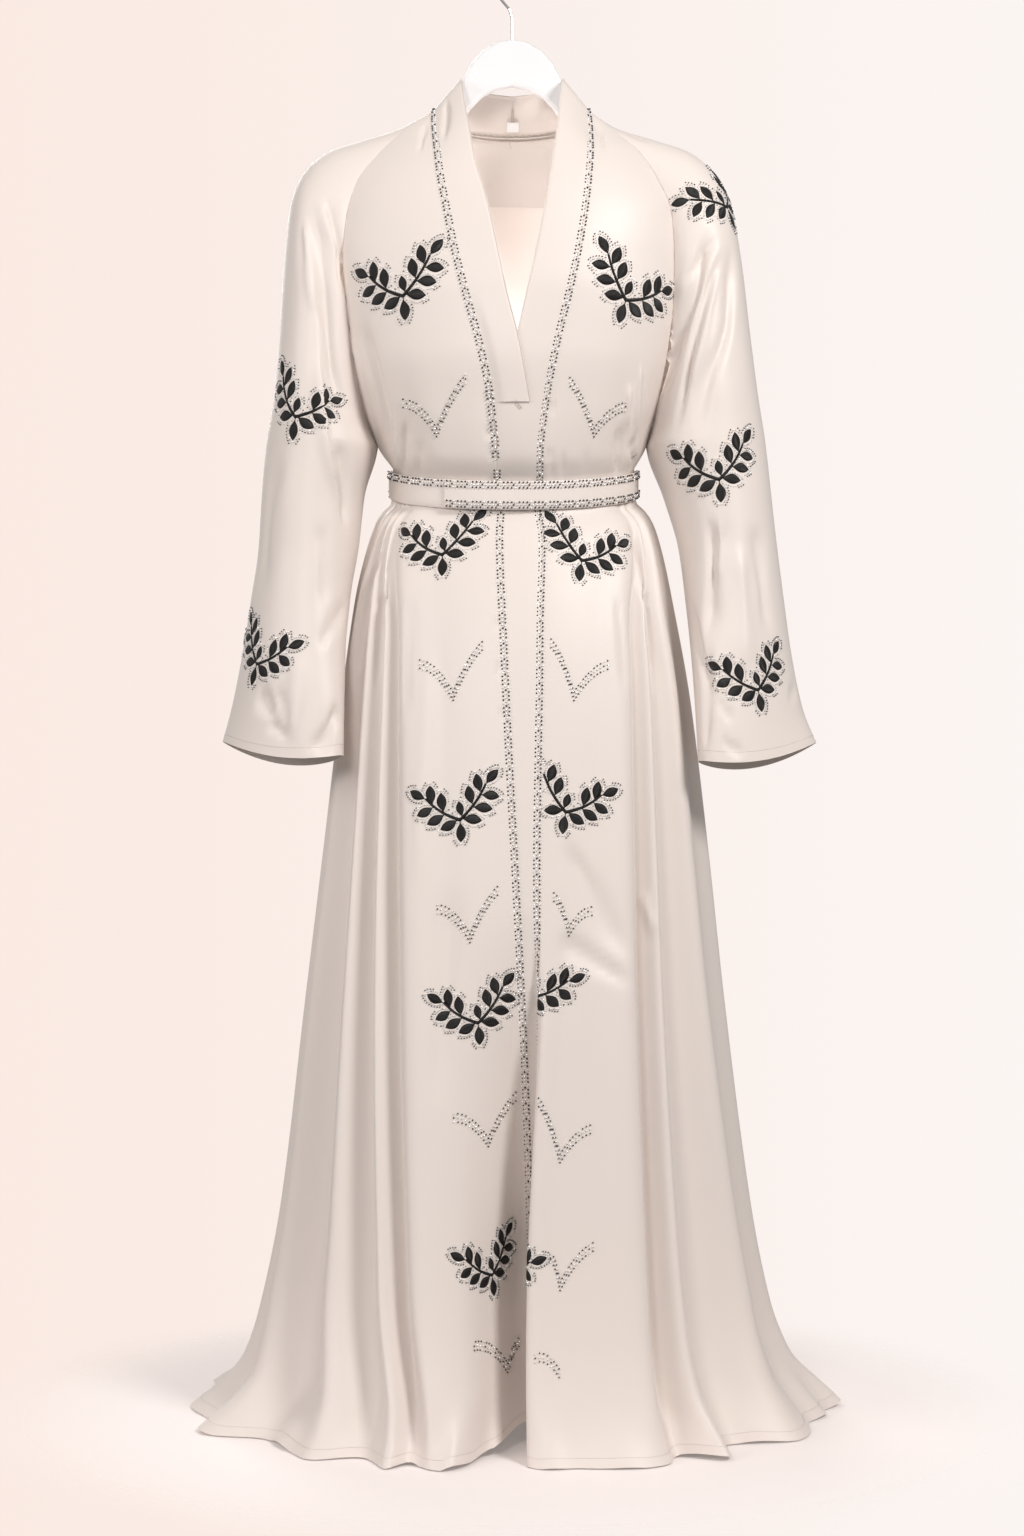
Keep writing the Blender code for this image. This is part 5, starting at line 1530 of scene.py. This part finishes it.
def stitch_row(work, ground, axis, at, step, length, radius, first=0.0, last=1.0):
    """Short stitches along a row or a column of a grid, a little above it."""
    count = ground.columns if axis == 0 else ground.rows
    along = np.linspace(first * (count - 1), last * (count - 1), 900)
    fixed = np.full(900, float(at))
    row, column = (fixed, along) if axis == 0 else (along, fixed)
    place = ground.between(ground.grid, row, column)
    place = place + ground.between(ground.normal, row, column) * radius * 0.6
    run = lengths_along(place)
    for start in np.arange(0, run[-1] - length, step):
        wanted = start + np.array([0, 0.5, 1.0]) * length
        thread_tube(work, at_lengths(wanted, run, place), radius, 3)


sewing = {name: Work() for name in ("back", "sleeve_right", "sleeve_left", "front_left", "front_right")}
for name in ("sleeve_right", "sleeve_left"):
    stitch_row(sewing[name], grounds[name], 0, grounds[name].rows - 4, 3.4 * MM, 2.3 * MM, 0.22 * MM)
for name in ("front_right", "front_left", "back"):
    stitch_row(sewing[name], grounds[name], 0, grounds[name].rows - 3.2, 3.6 * MM, 2.4 * MM, 0.22 * MM)

neck_line = grids["back"][0]
reach = np.abs(neck_line[:, 0]) < 0.062
inward = -normals["back"][0][reach]
share = np.linspace(0, 1, reach.sum())
for order, (drop, away, radius) in enumerate(((0.5, 1.4, 0.9), (3.0, 1.9, 0.55), (5.6, 1.6, 0.75))):
    line = neck_line[reach] + inward * away * MM - np.array([0, 0, drop * MM])
    fine = smooth(share, line, np.linspace(0, 1, 160))
    fine[:, 2] += 0.5 * MM * np.sin(np.linspace(0, 120 + 30 * order, 160))
    thread_tube(sewing["back"], fine, radius * MM)
zigzag = smooth(share, neck_line[reach] + inward * 2.0 * MM, np.linspace(0, 1, 150))
zigzag[:, 2] -= (3.0 + 2.7 * np.where(np.arange(150) % 2, 1, -1)) * MM
thread_tube(sewing["back"], zigzag, 0.35 * MM, 4)
tail = np.array([[-0.002, 0, -0.006], [-0.003, -0.001, -0.009], [-0.001, -0.001, -0.012],
                 [-0.0025, -0.001, -0.014]])
nape = smooth(share, neck_line[reach] + inward * 2.0 * MM, np.array([0.5]))[0]
thread_tube(sewing["back"], smooth(np.arange(4), nape + tail, np.linspace(0, 3, 14)), 0.3 * MM)
loop_foot = label_grid[0, 6] + label_in * 0.3 * MM
loop = np.array([[-0.8, 0], [-1.0, 6], [-0.6, 12], [0.2, 14.5], [0.9, 12], [1.1, 6], [0.9, 0]]) * MM
loop = loop_foot + loop[:, :1] * np.array([1.0, 0, 0]) + loop[:, 1:] * label_up
thread_tube(sewing["back"], smooth(np.arange(7), loop, np.linspace(0, 6, 40)), 0.55 * MM)
for start, end in (((514, 401), (520, 409)), ((516, 400), (522, 408))):
    ground, _ = look_for([grounds["band_left"], grounds["band_right"]], *start)
    bar = []
    for share in np.linspace(0, 1, 6):
        across, down = (a + share * (b - a) for a, b in zip(start, end))
        eye, aim = sight_line(across, down)
        hits = [grounds[name].tree.ray_cast(eye, aim) for name in ("band_left", "band_right")]
        spot, way, _, _ = min((hit for hit in hits if hit[0] is not None), key=lambda hit: hit[3])
        bar.append(np.array(spot) - np.array(aim) * 0.5 * MM)
    thread_tube(sewing["front_left"], np.array(bar), 0.45 * MM)

cream = Finish("sewing_thread", Base_Color=(0.60, 0.52, 0.46, 1), Roughness=0.6)
for name, work in sewing.items():
    needlework[name + "_stitches"] = (work.make(name + "_stitches", cream.material), None)
print("threads", {name: len(work.faces) for name, work in sewing.items()})

# %% [markdown]
# ## Floor and light
#
# A pale floor takes the hem's soft shadow. A large soft lamp stands high to the right in
# front, as in a small studio, and weaker ones fill in the rest.

# %% Floor
FLOOR_REACH = 1.1
corners = [(x * FLOOR_REACH, y * FLOOR_REACH, FLOOR) for x, y in ((-1, -1), (1, -1), (1, 1), (-1, 1))]
floor = mesh_object("floor", corners, [(0, 1, 2, 3)])
pale = Finish("pale_floor", Base_Color=(0.77, 0.705, 0.685, 1), Roughness=0.9, Specular_IOR_Level=0.1,
              Emission_Color=(1.0, 0.93, 0.90, 1), Emission_Strength=0.17)
away = pale.add("ShaderNodeVectorMath", {"operation": "LENGTH"}, pale.place((1.0, 1.15, 0.0)), out="Value")
fade = pale.add("ShaderNodeMapRange", {"interpolation_type": "SMOOTHSTEP"}, away, 0.36, 0.62, 1.0, 0.0)
pale.connect(Alpha=fade)
floor.data.materials.append(pale.material)

# %% Surroundings: what the camera sees, and a dimmer copy that lights the cloth
world = bpy.data.worlds.new("studio")
world.use_nodes = True
bpy.context.scene.world = world
bpy.context.scene.view_settings.view_transform = "Standard"
shown = world.node_tree.nodes["Background"]
lighting = world.node_tree.nodes.new("ShaderNodeBackground")
which = world.node_tree.nodes.new("ShaderNodeLightPath")
either = world.node_tree.nodes.new("ShaderNodeMixShader")
shown.inputs["Strength"].default_value = 0.97
lighting.inputs["Color"].default_value = (1.0, 0.975, 0.96, 1)
lighting.inputs["Strength"].default_value = 0.34
direction = world.node_tree.nodes.new("ShaderNodeTexCoord")
split = world.node_tree.nodes.new("ShaderNodeSeparateXYZ")
ramp = world.node_tree.nodes.new("ShaderNodeMapRange")
tint = world.node_tree.nodes.new("ShaderNodeMix")
tint.data_type = "RGBA"
for socket, value in zip(ramp.inputs[1:5], (-0.18, 0.24, 0.0, 1.0)):
    socket.default_value = value
tint.inputs[6].default_value = (0.985, 0.850, 0.790, 1)
tint.inputs[7].default_value = (1.0, 0.955, 0.935, 1)
for a, b in ((direction.outputs["Generated"], split.inputs[0]), (split.outputs[0], ramp.inputs[0]),
             (ramp.outputs[0], tint.inputs[0]), (tint.outputs[2], shown.inputs["Color"])):
    world.node_tree.links.new(a, b)
for a, b in ((which.outputs["Is Camera Ray"], either.inputs[0]), (lighting.outputs[0], either.inputs[1]),
             (shown.outputs[0], either.inputs[2])):
    world.node_tree.links.new(a, b)
world.node_tree.links.new(either.outputs[0], world.node_tree.nodes["World Output"].inputs["Surface"])


# %% Lamps
def lamp(name, place, aim, size, power, colour=(1, 1, 1)):
    light = bpy.data.lights.new(name, "AREA")
    light.shape, light.size, light.energy, light.color = "DISK", size, power, colour
    item = bpy.data.objects.new(name, light)
    bpy.context.collection.objects.link(item)
    item.location = place
    item.rotation_euler = (Vector(aim) - Vector(place)).to_track_quat("-Z", "Y").to_euler()
    item.visible_camera = False


lamp("key", (1.7, -1.9, 1.0), (0, 0, -0.6), 0.8, 62, (1.0, 0.980, 0.970))
lamp("front", (-0.8, -2.8, 0.2), (0, 0, -0.5), 0.8, 23, (1.0, 0.985, 0.980))
lamp("fill", (-2.5, -1.4, 0.2), (0, 0, -0.8), 1.6, 25, (1.0, 0.965, 0.95))
lamp("back", (-0.8, 2.6, 0.6), (0, 0, -0.7), 1.6, 38, (1.0, 0.985, 0.97))
lamp("glow", (0, -0.01, -0.50), (0, 0.08, -0.22), 0.10, 0.66, (0.97, 0.97, 1.0))
print("lamps set")

# %% [markdown]
# ## Handing the pieces over
#
# Each cloth piece takes the place of its wall in the imported model, and a table gives the
# flat cut that a maker would lay out for it.

# %% Riding, replacing and the cuts
# Width and length of each flat piece in metres, its area, and how it is held
CUTS = {
    "front_right": (0.64, 1.51, 0.445, "gathered"), "front_left": (0.66, 1.50, 0.420, "gathered"),
    "back": (1.17, 1.50, 0.880, "gathered"), "sleeve_right": (0.45, 0.81, 0.235, "hung"),
    "sleeve_left": (0.46, 0.81, 0.240, "hung"), "band_right": (0.052, 0.51, 0.0220, "hung"),
    "band_left": (0.062, 1.60, 0.0520, "hung"), "belt": (0.77, 0.032, 0.0235, "stretched"),
    "back_neck_facing": (0.160, 0.100, 0.0112, "hung"),
}
for name, piece in pieces.items():
    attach(piece, "root")
    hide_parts(name)
    "ribbon" if name == "label" else "satin"
for piece, slot in needlework.values():
    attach(piece, "root")
lacquer = Finish("white_lacquer", Base_Color=(0.78, 0.78, 0.785, 1), Roughness=0.30,
                 Coat_Weight=0.5, Coat_Roughness=0.12)
steel = Finish("bright_steel", Base_Color=(0.66, 0.66, 0.67, 1), Metallic=1.0, Roughness=0.20)
for name, finish, slot in (("hanger", lacquer, "lacquer"), ("hook", steel, "steel")):
    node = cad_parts[name]
    node.data.materials.clear()
    node.data.materials.append(finish.material)
for name, (width, length, area, held) in CUTS.items():
    keys = [name + kind for kind in ("_leaves", "_beads", "_stitches")]
    on = [needlework[key][0] for key in keys if key in needlework]
